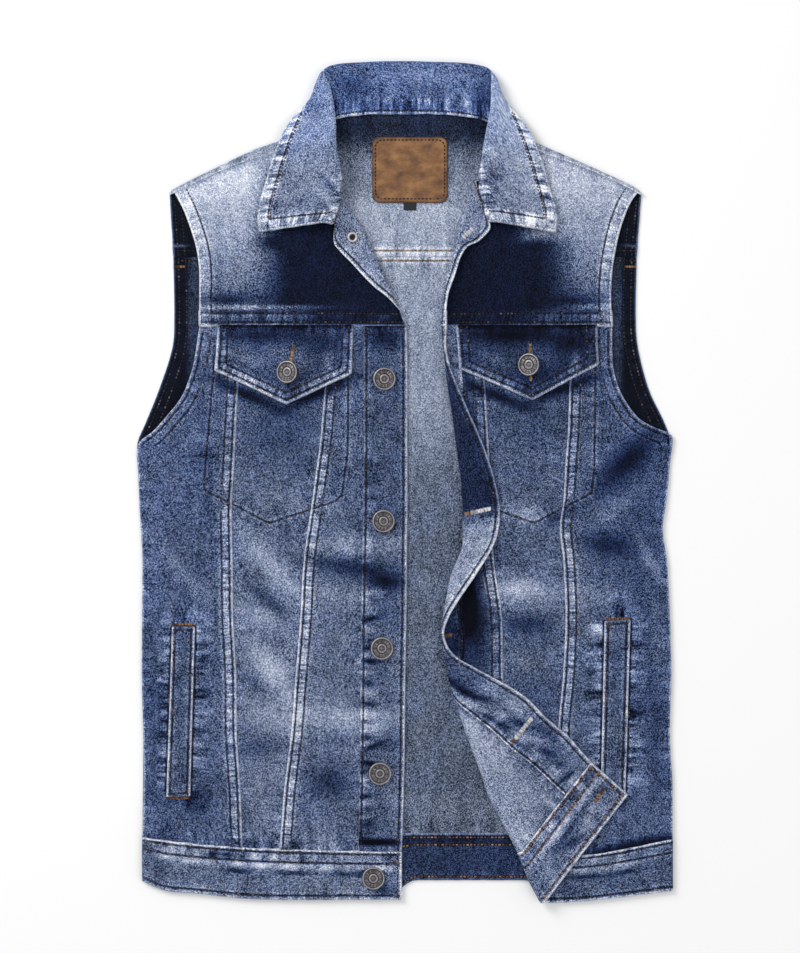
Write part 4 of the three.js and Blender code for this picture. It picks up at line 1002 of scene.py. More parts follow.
def laid_on_front(x, y, moved, rise=0.0):
    """Laying function over the fronts' lower layer."""
    base = front_height(x, y) + waviness(x, y, FRONT_SEED) + rise
    return lambda h: np.stack([x, moved, base + h], -1)


# Sewn outlines on the fronts: the pocket bags and the frames round the welts
POCKET_BAGS = {
    "right": [(-172, 470), (-172.2, 454), (-176, 413.1), (-180.9, 352.4), (-179.1, 349.2), (-160.2, 340.2),
              (-122.4, 320.4), (-86.4, 332.1), (-62.1, 340.2), (-56.7, 345.6), (-51.6, 383.4), (-50.8, 470)],
    "left": [(171, 470), (171, 447.3), (170.1, 366.3), (167.7, 347.4), (143.6, 334.8), (116.1, 320.4),
             (84.2, 331.7), (74, 337)],
}
WELTS = {
    "right": ((-208.8, 226.8), (-189.4, 226.8), (-213.8, 74.7), (-193.5, 75.6)),
    "left": ((180.0, 231.8), (202.1, 233.1), (176.4, 78.0), (197.5, 78.6)),
}


def welt_frame(side, out):
    a, b, c, d = WELTS[side]
    return [(a[0] - out, a[1] + out), (b[0] + out, b[1] + out), (d[0] + out, d[1] - out),
            (c[0] - out, c[1] - out), (a[0] - out, a[1] + out)]


CELL = 3.2
FRONT_ROWS = HEM_SEAM + ladder(YOKE_SEAM - GAP - HEM_SEAM, CELL, PLAIN, PLAIN)
FRAME_OUT = 1.5
HEM_ROWS = (3.2, 11.0)


def front_panel(name, a, b, near, far, style_a, style_b, seed):
    """A flat panel of the front between two seams given as functions of y."""
    ys = FRONT_ROWS
    left, right = a(ys), b(ys)
    lengths = np.abs(right - left)
    d = columns(lengths, max(3, round(lengths.mean() / CELL)), near, far)
    x = left[:, None] + np.sign((right - left)[0]) * d
    y = like(ys, d)
    plane = plane_of(x, y)
    sides = [style_a(plane, plane_of(left, ys)), style_b(plane, plane_of(right, ys)),
             Side(y - HEM_SEAM, x, rope=1.0, reach=8, shadow=1.0),
             Side(YOKE_SEAM - y, x, rope=0.7, reach=8, shadow=1.2)]
    side = "left" if name.endswith("left") else "right"
    dist, run = near_line(plane, np.array(POCKET_BAGS[side]), signed=True)
    sides.append(Side(np.where(y < BAG_TOP, dist, FAR), run, rope=0.5, reach=9, rows=(0.0, NO_ROW)))
    if "side" in name:
        frame_line = np.array(welt_frame(side, FRAME_OUT))
        sides.append(Side(*near_line(plane, frame_line, signed=True), rope=1.6, reach=13, shadow=0.5,
                          rows=(0.0, NO_ROW)))
    build(name, laid_on_front(x, y, y + waist_shift(x, y)), CLOTH, sides, outer_tone(x, y), plane, seed,
          blue=BLUE + 0.20 * ease(140, 200, np.abs(x)))


def seam(**style):
    return lambda plane, line: Side(*near_line(plane, line), **style)


BAND_STYLE = dict(band=BAND, rise=BAND_RISE, rope=0.4, ladder=1.0, reach=13, rows=(2.0, 8.8))
RAISED_SEAM = seam(wear=0.45, wide=1.0, **BAND_STYLE)
UNDER_SEAM = seam(rope=0.4, reach=9, shadow=1.1)


def arm_side(plane, line):
    """The side seam below and the hemmed armhole above, with its two rows."""
    rows = [np.where(plane[..., 1] > ARMPIT, d, NO_ROW) for d in HEM_ROWS]
    return Side(*near_line(plane, line), rope=0.5, reach=8, wear=0.4, rows=rows)


def along(seams, column, shift=0.0):
    return lambda y: seams(column, y) + shift


front_panel("front_side_panel_right", along(RIGHT_SEAMS, "side"), along(RIGHT_SEAMS, "outer"),
            EDGE, RAISED, arm_side, RAISED_SEAM, 1)
front_panel("front_mid_panel_right", along(RIGHT_SEAMS, "outer", GAP), along(RIGHT_SEAMS, "inner", -GAP),
            PLAIN, PLAIN, UNDER_SEAM, UNDER_SEAM, 2)
front_panel("front_center_panel_right", along(RIGHT_SEAMS, "inner"), along(RIGHT_SEAMS, "placket", -GAP),
            RAISED, PLAIN, RAISED_SEAM, UNDER_SEAM, 3)
front_panel("front_mid_panel_left", along(LEFT_SEAMS, "outer", -GAP), along(LEFT_SEAMS, "inner", GAP),
            PLAIN, PLAIN, UNDER_SEAM, UNDER_SEAM, 4)
front_panel("front_side_panel_left", along(LEFT_SEAMS, "side"), along(LEFT_SEAMS, "outer"),
            EDGE, RAISED, arm_side, RAISED_SEAM, 5)


# Creases drawn into the right placket by its seam: x, y, degrees, half length, half width, tone
PLACKET_CREASES = [
    (-31.5, 234, 10, 9, 2.0, -0.26), (-34.2, 208, 15, 5, 1.8, -0.24), (-31.5, 196, -4, 9, 2.4, -0.28),
    (-33, 176.5, -15, 6, 3.6, -0.20), (-32.4, 157.5, -5, 8, 2.4, -0.26), (-35, 141.3, -5, 5, 1.4, -0.20),
    (-34, 128, -5, 6, 2.4, -0.18), (-29.7, 119, 25, 12, 2.4, -0.22), (-31.5, 104.4, -5, 9, 2.2, -0.32),
    (-34.5, 97.5, 0, 5, 1.6, -0.16), (-35, 74.7, 8, 5, 1.8, -0.22), (-34, 64, 0, 6, 2, -0.10),
    (-34, 49.5, 0, 7, 2.6, -0.20), (-27, 33.5, 0, 26, 3.2, -0.34), (-29.7, 258.5, 4, 11, 2.0, 0.20),
    (-37.5, 250, 90, 8, 1.4, 0.12), (-34, 223, 0, 6, 4, 0.10), (-35, 202, 0, 6, 1.8, 0.15),
    (-33, 186.5, 0, 5, 2.4, 0.10), (-35, 167.5, 0, 6, 3, 0.15), (-34, 149.5, 0, 8, 3.4, 0.14),
    (-27, 136, 0, 14, 4, 0.12), (-35, 121.5, 10, 4, 1.8, 0.10), (-37, 87, 0, 4, 4, 0.14),
    (-33, 70, 0, 6, 2.4, 0.12), (-33, 57.5, 0, 6, 2.6, 0.10),
]


def placket_right():
    ys = HEM_SEAM + ladder(YOKE_SEAM - GAP - HEM_SEAM, CELL / 2, PLAIN, PLAIN)
    left, right = RIGHT_SEAMS("placket", ys), RIGHT_SEAMS("edge", ys)
    d = columns(right - left, 15, FINE_EDGE, EDGE)
    x = left[:, None] + d
    y = like(ys, d)
    moved = y + waist_shift(x, y)
    sides = [Side(d, y, rope=0.7, reach=10, shadow=1.0, rows=(1.8, NO_ROW)),
             Side(d[:, -1:] - d, y, rope=0.3, reach=6, wear=0.6, wide=1.2, rows=(3.0, NO_ROW)),
             Side(y - HEM_SEAM, x, rope=0.8, reach=6, shadow=1.0),
             Side(YOKE_SEAM - y, x, rope=0.6, reach=6, shadow=1.2)]
    drawn = marks(x, moved, PLACKET_CREASES)
    build("placket_right", laid_on_front(x, y, moved), DOUBLE, sides, outer_tone(x, y) - 0.02 + drawn,
          plane_of(x, y), 6, crease=1.6 * drawn)


placket_right()


# Creases of the facing: distance from the free edge, place up the front, degrees,
# half length, half width, tone
FACING_CREASES = [
    (30, 186, 60, 12, 5, -0.14), (34, 172, 70, 10, 3, 0.12), (26, 166, 80, 9, 4, -0.16),
    (33, 157, 70, 9, 3, 0.14), (24, 152, 60, 12, 4, -0.14), (12, 150, 90, 16, 5, 0.06),
    (32, 143, 80, 8, 3, 0.12), (34, 134, 80, 8, 3, -0.14), (27, 127, 70, 9, 4, 0.12),
    (13, 124, 90, 14, 6, 0.09), (33, 117, 80, 9, 3, -0.14), (20, 108, 60, 12, 4, -0.14),
    (30, 101, 70, 9, 3, 0.12), (33, 92, 80, 8, 3, -0.14), (22, 90, 60, 10, 4, 0.10),
    (30, 82, 70, 9, 3, 0.14), (24, 74, 60, 12, 4, -0.16), (10, 84, 90, 14, 5, -0.08),
    (30, 62, 60, 9, 3, 0.14), (22, 54, 50, 12, 3, -0.16), (14, 46, 40, 10, 3, 0.12),
    (24, 38, 20, 12, 3, -0.16), (12, 32, 0, 12, 3, 0.12), (30, 29, 0, 9, 3, 0.12),
]


def facing_tone(s, y):
    """Tone of the band's facing, up the folded edge: s from the free edge, y up the front."""
    tone = mix(0.31, 0.13, ease(318, 336, y) * (1 - ease(440, 480, y)))
    tone = tone + 0.08 * ease(480, 498, y) - 0.07 * ease(150, 175, y) * (1 - ease(195, 215, y))
    light = ease(226, 250, y) * (1 - ease(300, 332, y))
    return tone + 0.24 * light + 1.4 * marks(s, y, FACING_CREASES)


def left_folded():
    """The wearer's left button band and centre panel, rolled over the fold."""
    ys = np.unique(np.concatenate([FRONT_ROWS, np.arange(190, 240, 2.0)]))
    rows = left_rows(ys)
    bands = LEFT_FOLD("placket", ys)
    bend_end = rows.top + rows.arc
    seam_at = bend_end + LEFT_SEAMS("inner", ys) - rows.start[:, 0]
    s = rows.spread(np.zeros_like(ys), bands, 26)
    s[:, 1], s[:, 2] = EDGE[1], EDGE[2]
    y = like(ys, s)
    to_seam = bands[:, None] - s
    sides = [Side(s, y, rope=0.6, reach=8, wear=0.7, wide=1.0, rows=(3.2, NO_ROW)),
             Side(to_seam, y, rope=1.2, reach=11, wear=0.4, wide=1.0, rows=(2.0, NO_ROW)),
             Side(y - HEM_SEAM, s, rope=0.8, reach=6), Side(YOKE_SEAM - y, s, rope=0.6, reach=6)]
    # Painted shadow beside the folded edge from 180 to 285 up the front, with darker wash, and painted shade
    # along the seam to the centre panel.
    shown = 0.34 - 0.20 * ease(180, 205, y) * (1 - ease(262, 285, y)) - 0.4 * np.exp(-(to_seam / 1.5) ** 2)
    build("placket_left", lambda h, s=s: rows.place(s, h), DOUBLE, sides, shown, plane_of(s, y), 7,
          inner_tone=facing_tone(s, y), inner_relief=0.8, held="folded")
    from_band = bands + GAP
    s = rows.spread(from_band, seam_at, 44, 4)
    s[:, -4:] = seam_at[:, None] - np.array(FINE_EDGE[::-1])
    s = np.sort(s, 1)
    y = like(ys, s)
    from_seam = s - from_band[:, None]
    sides = [Side(from_seam, y, rope=0.5, reach=9, shadow=0.7),
             Side(seam_at[:, None] - s, y, wear=0.42, wide=1.3, **BAND_STYLE),
             Side(y - HEM_SEAM, s, rope=0.8, reach=7), Side(YOKE_SEAM - y, s, rope=0.6, reach=6)]
    # Painted shade near the fold above 150 up the front, and along the seam to the band.
    inner_tone = 0.50 + 0.1 * ease(60, 130, y) - 0.14 * ease(150, 185, y) - 0.25 * np.exp(-from_seam / 6)
    build("front_center_panel_left", lambda h: rows.place(s, h), CLOTH, sides,
          outer_tone(s - bend_end[:, None] + rows.start[:, :1], y) - 0.03, plane_of(s, y), 8,
          inner_tone=inner_tone, held="folded")


left_folded()


# Creases of the waistbands: place along the left one from its free edge, or x on the right one,
# distance from the top, degrees, half length, half width, tone
LEFT_WAISTBAND_CREASES = [
    (0, 6, 0, 130, 3.2, -0.12), (12, 13.5, 0, 8, 2.4, 0.20), (31, 14, 4, 10, 2.6, 0.22),
    (52, 13.5, 0, 7, 2.4, 0.20), (70, 14, 0, 10, 2.6, 0.24), (88, 13, 0, 7, 2.4, 0.18),
    (24, 6, 0, 5, 2.0, 0.20), (45, 6, 0, 6, 2.0, 0.22), (66, 6, 0, 5, 2.0, 0.22),
    (84, 6, 0, 6, 2.0, 0.20), (20, 19, 0, 14, 2.4, -0.12), (60, 19.5, 0, 18, 2.4, -0.14),
    (40, 27, 20, 22, 4, 0.10), (62, 29, -20, 18, 4, -0.14), (20, 31, 0, 14, 4, 0.06),
    (95, 24, 60, 14, 5, 0.08), (128, 13.5, 0, 9, 2.4, 0.26), (148, 14, 0, 7, 2.6, 0.28),
    (168, 13.5, 0, 10, 2.6, 0.30), (190, 14, 0, 8, 2.4, 0.26), (212, 13.5, 0, 10, 2.4, 0.24),
    (138, 6.2, 0, 6, 2.2, 0.20), (160, 6.2, 0, 7, 2.2, 0.22), (183, 6.2, 0, 6, 2.2, 0.20),
    (205, 6.2, 0, 7, 2.2, 0.18), (140, 19, 0, 14, 2.2, -0.18), (176, 19, 2, 16, 2.2, -0.18),
    (210, 19, -2, 12, 2.2, -0.16),
]
RIGHT_WAISTBAND_CREASES = [
    (-216, 13, 0, 9, 2.4, 0.26), (-192, 14, 0, 9, 2.6, 0.30), (-177, 14, 0, 5, 2.6, 0.24),
    (-150, 13, 0, 7, 2.6, 0.34), (-129, 13.5, 0, 10, 2.8, 0.36), (-103.5, 13.5, 0, 9, 2.8, 0.34),
    (-87, 13.5, 0, 4, 2.4, 0.26), (-71, 14, 0, 6, 2.4, 0.30), (-51, 14.5, 0, 3, 2.4, 0.20),
    (-24, 14, 0, 17, 2.2, 0.26), (-211, 6.5, 0, 12, 2.4, 0.14), (-189, 7, 0, 8, 2.4, 0.16),
    (-135, 6.2, 0, 5, 2.4, 0.24), (-117, 6.2, 0, 6, 2.4, 0.26), (-101, 6.2, 0, 5, 2.4, 0.22),
    (-84, 6.5, 0, 4, 2.2, 0.16), (-36, 6.8, 0, 30, 2.0, 0.10), (-173, 7, 0, 4, 3.4, -0.22),
    (-161, 6, 0, 5, 3, -0.18), (-147, 8, 80, 4, 2, -0.12), (-127, 8, 80, 4, 1.6, -0.14),
    (-110, 8, 80, 4, 1.6, -0.14), (-92, 8, 80, 4, 1.6, -0.14), (-150, 18.5, -2, 14, 2.0, -0.18),
    (-99, 18.5, 2, 16, 2.0, -0.18), (-58, 19, 3, 10, 2.2, -0.14), (-36, 18.5, 0, 14, 2.6, -0.18),
    (-20, 31, 30, 10, 6, -0.14), (-225, 14, 60, 12, 4, -0.10),
]
RIGHT_WAISTBAND_WASH = [(-66, 26, 0, 60, 10, 0.05), (-30, 6, 0, 60, 6, -0.08)]


def waistbands():
    x = RIGHT_SIDE_X + ladder(RIGHT_EDGE_X - RIGHT_SIDE_X, CELL, EDGE, EDGE)
    v = ladder(WAISTBAND, 1.6, FINE_EDGE, EDGE) / WAISTBAND
    xx, vv = np.meshgrid(x, v)
    y = mix(WAIST_SEAM("y", xx) - WAIST_GAP, HEM_LINE("y", xx), vv)
    base = front_height(xx, np.full_like(xx, HEM_SEAM))
    d = vv * WAISTBAND
    sides = [Side(d, xx, rope=0.8, reach=14, wear=0.6, wide=1.3, rows=(2.2, 10.0)),
             Side(WAISTBAND - d, xx, rope=0.5, reach=6, wear=0.3, wide=1.0, rows=(3.0, NO_ROW)),
             Side(xx - RIGHT_SIDE_X, y, rope=0.4, reach=5),
             Side(RIGHT_EDGE_X - xx, y, rope=0.3, reach=5, wear=0.8, wide=2)]
    drawn = marks(xx, d, RIGHT_WAISTBAND_CREASES)
    marked_tone = marks(xx, d, RIGHT_WAISTBAND_WASH)
    build("waistband_front_right", lambda h: np.stack([xx, y, base + h], -1), DOUBLE, sides,
          0.33 + 1.35 * drawn + marked_tone, plane_of(y, xx), 9, crease=1.3 * drawn)
    rows = left_waist_rows(v)
    s = rows.spread(np.zeros_like(v), rows.length, 120, 3)
    s[:, 1], s[:, 2] = EDGE[1], EDGE[2]
    d = like(v * WAISTBAND, s)
    sides = [Side(d, s, rope=0.9, reach=14, wear=0.55, wide=1.3, rows=(2.2, 10.0)),
             Side(WAISTBAND - d, s, rope=0.6, reach=7, wear=0.6, wide=1.4, rows=(3.0, NO_ROW)),
             Side(s, d, rope=0.4, reach=5, wear=0.7, wide=1.4, rows=(3.0, NO_ROW))]
    drawn = marks(s, d, LEFT_WAISTBAND_CREASES)
    build("waistband_front_left", lambda h: rows.place(s, h), DOUBLE, sides, 0.28 + drawn, plane_of(d, s), 10,
          inner_tone=0.33 + 1.3 * drawn, inner_relief=0.8, held="folded")


waistbands()

LAPEL_MARKS = [(-62, 585, -40, 14, 10, -0.12), (56, 570, 40, 14, 9, -0.15), (38, 525, 80, 30, 6, 0.05)]

# Rows of a yoke that are listed, and the finer ones between them
YOKE_KEYS = np.array([0, 1, 1.1, 2, 3, 4, 5, 6, 7, 8, 9, 9.5, 10, 11, 12], float)
YOKE_FINE = np.concatenate([[0, 0.05, 0.12, 0.25, 0.4, 0.55, 0.7, 0.82, 0.92, 1.0, 1.1, 1.2, 1.35],
                            np.arange(1.5, 11.86, 0.17), [11.9, 11.96, 12.0]])


def laid_between(rows, keys, s, fine):
    """Face of a piece whose rows lie between key rows, and the way up through its cloth."""
    low = rows.place(s, np.zeros_like(s))
    lifted = rows.place(s, np.ones_like(s)) - low
    return between_keys(keys, low, fine), unit(between_keys(keys, lifted, fine))


def front_yoke(name, yoke, side, seed):
    rows = yoke_rows(yoke, side, YOKE_KEYS)
    s = rows.spread(np.zeros(len(YOKE_KEYS)), rows.length, 84, 5)
    for k, step in enumerate(EDGE[1:]):
        s[:, 1 + k], s[:, -2 - k] = step, rows.length - step
    s = np.sort(s, 1)
    flat, away = laid_between(rows, YOKE_KEYS, s, YOKE_FINE)
    bent = np.repeat((rows.top + rows.arc)[:, None, None], 2, 1)
    over = lengths_of(flat)[0] < between_keys(YOKE_KEYS, bent, YOKE_FINE)[:, :1, 0]
    arm_dist, arm_run = near_line(flat[..., :2], flat[:, -1, :2])
    ends = edges_of(flat)
    low_dist, low_run = ends["low"]
    sides = [Side(*ends["a"], rope=0.4, reach=7, wear=0.7, wide=1.4, rows=(3.2, NO_ROW)),
             Side(np.where(over, FAR, arm_dist), arm_run * 0.8, rope=0.3, ladder=0.8, reach=10, wear=0.65,
                  wide=1.4, band=11, rise=0.5, rows=(10.0, NO_ROW)),
             Side(low_dist, low_run * 1.4, rope=0.8, ladder=0.9, reach=12, wear=0.6, wide=1.2,
                  band=YOKE_BAND, rise=BAND_RISE, rows=(3.0, 11.0)),
             Side(*ends["high"], rope=0.3, reach=6, shadow=0.8)]
    x, y = flat[..., 0], flat[..., 1]
    build(name, lambda h: flat + away * h[..., None], CLOTH, sides, yoke_tone(x, y), plane_of(x, y), seed,
          inner_tone=0.47 + marks(x, y, LAPEL_MARKS), inner_relief=0.5, held="folded")


front_yoke("front_yoke_right", RIGHT_YOKE, -1, 11)
front_yoke("front_yoke_left", LEFT_YOKE, 1, 12)


def back_half(y):
    return mix(*BACK_HALF, (y - BACK_LOW) / (BACK_YOKE_SEAM - BACK_LOW))


INSIDE_MARKS = [
    (15, 430, 0, 30, 30, 0.04), (15, 85, 0, 40, 30, -0.04), (20, 70, 2, 40, 7, 0.05),
    (22, 48, -2, 40, 6, -0.07), (15, 130, 0, 30, 22, -0.02),
]


def inside_tone(x, y):
    tone = 0.40 + 0.17 * ease(330, 425, y) + 0.06 * ease(450, 545, y) - 0.05 * ease(30, 90, y)
    return tone + 0.08 * ease(555, 556.5, y) + marks(x, y, INSIDE_MARKS)


def side_tone(x, y):
    """Inside of the back's side panels, with painted shade at the top, where they lie in the armholes."""
    deep = ease(330, 400, y)
    return mix(inside_tone(x, y) - 0.12, 0.04 + 0.14 * (1 - ease(192, 198, np.abs(x))), deep)


def on_table(points):
    points[..., 2] = np.maximum(points[..., 2], 0.0)
    return points


BACK_CELL = 5.0
INSIDE_STYLE = dict(inner_relief=1.0, rests_on=[])
LINED = dict(material=DENIM_INSIDE, slot="denim_inside", **INSIDE_STYLE)


def backs():
    ys = BACK_LOW + ladder(BACK_YOKE_SEAM - GAP - BACK_LOW, BACK_CELL, PLAIN, PLAIN)
    half = back_half(ys)
    parts = [("back_center_panel", GAP - half, half - GAP, PLAIN, PLAIN),
             ("back_side_panel_right", BACK_SIDES("right", ys), -half, EDGE, PLAIN),
             ("back_side_panel_left", half, BACK_SIDES("left", ys), PLAIN, EDGE)]
    for k, (name, left, right, near, far) in enumerate(parts):
        lengths = right - left
        d = columns(lengths, round(lengths.mean() / 4.5), near, far)
        x = left[:, None] + d
        y = like(ys, d)
        plane = plane_of(x, y)
        ends = [dict(rope=0.5, reach=9, pucker=0.15), dict(rope=0.5, reach=9, pucker=0.15)]
        if k:
            ends[k - 1].update(wear=0.35, rows=(4.0, 10.5), ladder=0.7, band=11)
        sides = [Side(*near_line(plane, plane_of(edge, ys)), **end) for edge, end in zip((left, right), ends)]
        sides += [Side(y - BACK_LOW, x, rope=0.5, reach=8, pucker=0.2, shadow=0.5),
                  Side(BACK_YOKE_SEAM - y, x, rope=0.8, reach=9, pucker=0.2, rows=(3.6, NO_ROW))]
        build(name, lambda h: on_table(np.stack([x, y, CLOTH - h], -1)), CLOTH, sides, 0.36, plane, 20 + k,
              inner_tone=side_tone(x, y) if k else inside_tone(x, y), **LINED)
    x = RIGHT_SIDE_X + ladder(LEFT_SIDE_X - RIGHT_SIDE_X, BACK_CELL, EDGE, EDGE)
    v = ladder(WAISTBAND, 3.5, FINE_EDGE, EDGE) / WAISTBAND
    xx, vv = np.meshgrid(x, v)
    bottom = mix(HEM_LINE("y", xx), 0, ease(-20, 10, xx) * (1 - ease(110, 135, xx)))
    y = mix(BACK_LOW - GAP, bottom, vv)
    d = vv * WAISTBAND
    sides = [Side(d, xx, rope=0.9, reach=12, wear=0.55, pucker=0.2, rows=(2.9, 9.5)),
             Side(WAISTBAND - d, xx, rope=0.4, reach=5, wear=0.1, rows=(2.4, NO_ROW))]
    build("waistband_back", lambda h: on_table(np.stack([xx, y, DOUBLE - h], -1)), DOUBLE, sides, 0.36,
          plane_of(y, xx), 24, inner_tone=0.17 - 0.07 * (1 - ease(9, 11, d)), **INSIDE_STYLE)


backs()


def back_yoke():
    keys = BACK_SHOULDER.key
    count = len(keys)
    fold = plane_of(keys, BACK_SHOULDER("foldY", keys))
    turn = np.radians(np.clip(BACK_SHOULDER("turn", keys), 0, 180))
    inward = np.repeat([[0.0, -1.0]], count, 0)
    lift = NECK_LIFT * (1 - ease(84, 100, np.abs(keys)))
    edge = plane_of(keys, SHOULDER_SEAM("y", keys) + GAP)
    root = plane_of(BACK_SHOULDER("startX", keys), np.full(count, BACK_YOKE_SEAM))

    def height(x, y):
        return (lift if y.ndim == 1 else lift[:, None]) * ease(669, 683, y)

    rows = Rows(root, fold, inward, np.full(count, SHOULDER_RADIUS), turn, edge, height, upright=True)
    bent = rows.top + rows.arc
    near = rows.spread(np.zeros(count), bent + 1, 14, 5)
    far = mix((bent + 2.5)[:, None], (rows.length - 2)[:, None], np.linspace(0, 1, 30)[None, :])
    s = np.concatenate([near, far, rows.length[:, None] - np.array([[1.0, 0.0]])], 1)
    between = np.linspace(keys[0], keys[-1], 96)
    fine = np.unique(np.concatenate([between, keys, [-211.0, -210, -208.5, 209, 210.5, 211.8]]))
    flat, away = laid_between(rows, keys, s, fine)
    x, y = flat[..., 0], flat[..., 1]
    ends = edges_of(flat)
    sides = [Side(*ends["b"], rope=0.8, reach=9, band=9.5, rise=0.5, pucker=0.25, rows=(5.4, NO_ROW),
                  ridge=0.5),
             Side(*ends["a"], rope=0.5, reach=7, wear=0.3, pucker=0.3)]
    sides += [Side(*ends[end], rope=0.4, reach=8, wear=0.5, rows=(4.0, 10.0)) for end in ("low", "high")]
    # Painted shadow of the collar towards the neck, and painted shade in the armholes towards both ends.
    inner_tone = 0.61 - 0.14 * ease(600, 640, y) - 0.34 * ease(640, 674, y)
    inner_tone = inner_tone + 0.12 * (1 - ease(8.5, 10, ends["b"][0]))
    inner_tone = np.clip(mix(inner_tone, DARKEST, ease(110, 170, np.abs(x))), DARKEST, 1)
    build("back_yoke", lambda h: on_table(flat + away * (CLOTH - h)[..., None]), CLOTH, sides,
          np.where(flat[..., 2] > 2.0, 0.60, 0.40), plane_of(x, y), 25, inner_tone=inner_tone, **LINED)


back_yoke()


# The collar
def through_points(points, t):
    """Smooth curve through five points each, at shares t of the way, with even spacing between points."""
    parts = points.shape[1] - 1
    i = np.minimum((t * parts).astype(int), parts - 1)
    w = (t * parts - i)[None, :, None]
    first = 2 * points[:, :1] - points[:, 1:2]
    last = 2 * points[:, -1:] - points[:, -2:-1]
    extended = np.concatenate([first, points, last], 1)
    p0, p1, p2, p3 = (extended[:, i + k] for k in range(4))
    d0, d1, d2 = (np.sqrt(np.linalg.norm(b - a, axis=2, keepdims=True))
                  for a, b in ((p0, p1), (p1, p2), (p2, p3)))
    m1 = ((p1 - p0) / d0 - (p2 - p0) / (d0 + d1) + (p2 - p1) / d1) * d1
    m2 = ((p2 - p1) / d1 - (p3 - p1) / (d1 + d2) + (p3 - p2) / d2) * d1
    return p1 + m1 * w + (3 * (p2 - p1) - 2 * m1 - m2) * w ** 2 + (2 * (p1 - p2) + m1 + m2) * w ** 3


def collar_middle(stations, shares):
    def point(part, at):
        return np.stack([COLLAR(part + axis, at) for axis in "XYZ"], -1)

    neck, roll, rim = (point(part, stations) for part in ("neck", "roll", "edge"))
    ahead = point("roll", np.minimum(stations + 0.5, COLLAR_ENDS))
    ahead = unit(ahead - point("roll", np.maximum(stations - 0.5, -COLLAR_ENDS)))
    to_neck, to_edge = neck - roll, rim - roll
    reach = np.minimum(1, np.linalg.norm(to_neck, axis=1, keepdims=True) / (3 * COLLAR_ROLL))
    mean = unit(unit(to_neck) + unit(to_edge))
    apart = unit(np.cross(mean, ahead)) * COLLAR_ROLL * 0.95 * reach
    inside = roll + unit(to_neck) * COLLAR_ROLL * reach + apart
    outside = roll + unit(to_edge) * COLLAR_ROLL * 1.3 - apart
    return through_points(np.stack([neck, inside, roll, outside, rim], 1), shares)


# The wings' dark marks are painted shadow near the roll and the rows.
WING_MARKS = [
    (-115, 604, 80, 8, 3, -0.22), (-94, 608, 0, 8, 4, -0.14), (-70, 633, -45, 9, 1.8, 0.16),
    (-67, 622, -45, 9, 3, -0.24), (-71, 612, -40, 11, 1.8, 0.16), (-72, 604, -35, 8, 2.4, -0.16),
    (-110, 645, 60, 24, 14, -0.06), (-66, 640, 80, 30, 8, -0.05), (-83, 694, 0, 13, 7, -0.16),
    (-80, 713, 30, 10, 5, -0.10), (-92, 672, 20, 14, 6, 0.05), (90, 690, -60, 30, 20, 0.06),
    (82, 630, 70, 22, 9, -0.16), (86, 600, 40, 14, 8, -0.10), (100, 655, 60, 30, 16, 0.07),
    (118, 610, 75, 26, 9, 0.05),
]
# The stand's dark marks are painted shade on the stand and along its neck seam.
STAND_MARKS = [
    (-48, 714, 0, 22, 16, -0.12), (70, 706, 90, 22, 12, -0.10), (10, 722, 0, 40, 6, 0.12),
    (0, 692, 0, 90, 9, -0.17), (20, 702, 0, 30, 6, 0.08),
]
# Places of the collar's rows at its two ends, and shares of the way from neck to outer edge
END_STEPS = np.array([0, 0.03, 0.07, 0.14])
STATIONS = np.concatenate([-COLLAR_ENDS + END_STEPS, np.linspace(-10.75, 10.75, 150),
                           COLLAR_ENDS - END_STEPS[::-1]])
SHARES = np.concatenate([np.linspace(0, 0.25, 14)[:-1], np.linspace(0.25, 0.5, 10)[:-1],
                         np.linspace(0.5, 0.75, 10)[:-1], np.linspace(0.75, 0.975, 26), [0.985, 0.993, 1.0]])


def collar():
    middle = collar_middle(STATIONS, SHARES)
    away = grid_normals(middle)
    if away[20, -12, 2] < 0:
        away = -away
    ends = edges_of(middle)
    style = dict(band=13, rise=0.45, rope=0.8, ladder=1.9, reach=14, wear=0.5, wide=1.4, pucker=0.8,
                 rows=(9.5, NO_ROW))
    sides = [Side(ends[end][0], ends[end][1] * 0.6, **style) for end in ("b", "low", "high")]
    sides.append(Side(ends["a"][0], ends["a"][1] * 0.7, rope=1.6, ladder=1.3, band=15, reach=16, wear=0.5,
                      pucker=0.6, rows=(2.2, NO_ROW)))
    x, y = middle[..., 0], middle[..., 1]
    share = np.repeat(SHARES[None, :], len(STATIONS), 0)
    stand = 1 - ease(0.42, 0.52, share)
    wing = mix(0.45, 0.48, ease(-20, 20, x)) + 0.07 * ease(590, 700, y)
    to_edge = np.minimum(ends["b"][0], np.minimum(ends["low"][0], ends["high"][0]))
    rim = -0.02 * (1 - ease(7, 14, to_edge)) * (1 - stand)
    tone = mix(wing + rim, 0.35, stand) + 0.10 * np.exp(-((share - 0.5) / 0.04) ** 2)
    tone = tone + (1 - stand) * marks(x, y, WING_MARKS) + stand * marks(x, y, STAND_MARKS)
    out, up = lengths_of(middle)
    bumps = 0.7 * (noise(up / 24, out / 26, 31) - 0.5)
    build("collar", lambda h: on_table(middle + away * (h - COLLAR_HALF + bumps)[..., None]), 2 * COLLAR_HALF,
          sides, tone, plane_of(up, out), 30, inner_tone=0.3, blue=0.15 + 0.65 * ease(635, 680, y),
          held="folded", rests_on=["back_yoke", "front_yoke_right", "front_yoke_left"])


collar()

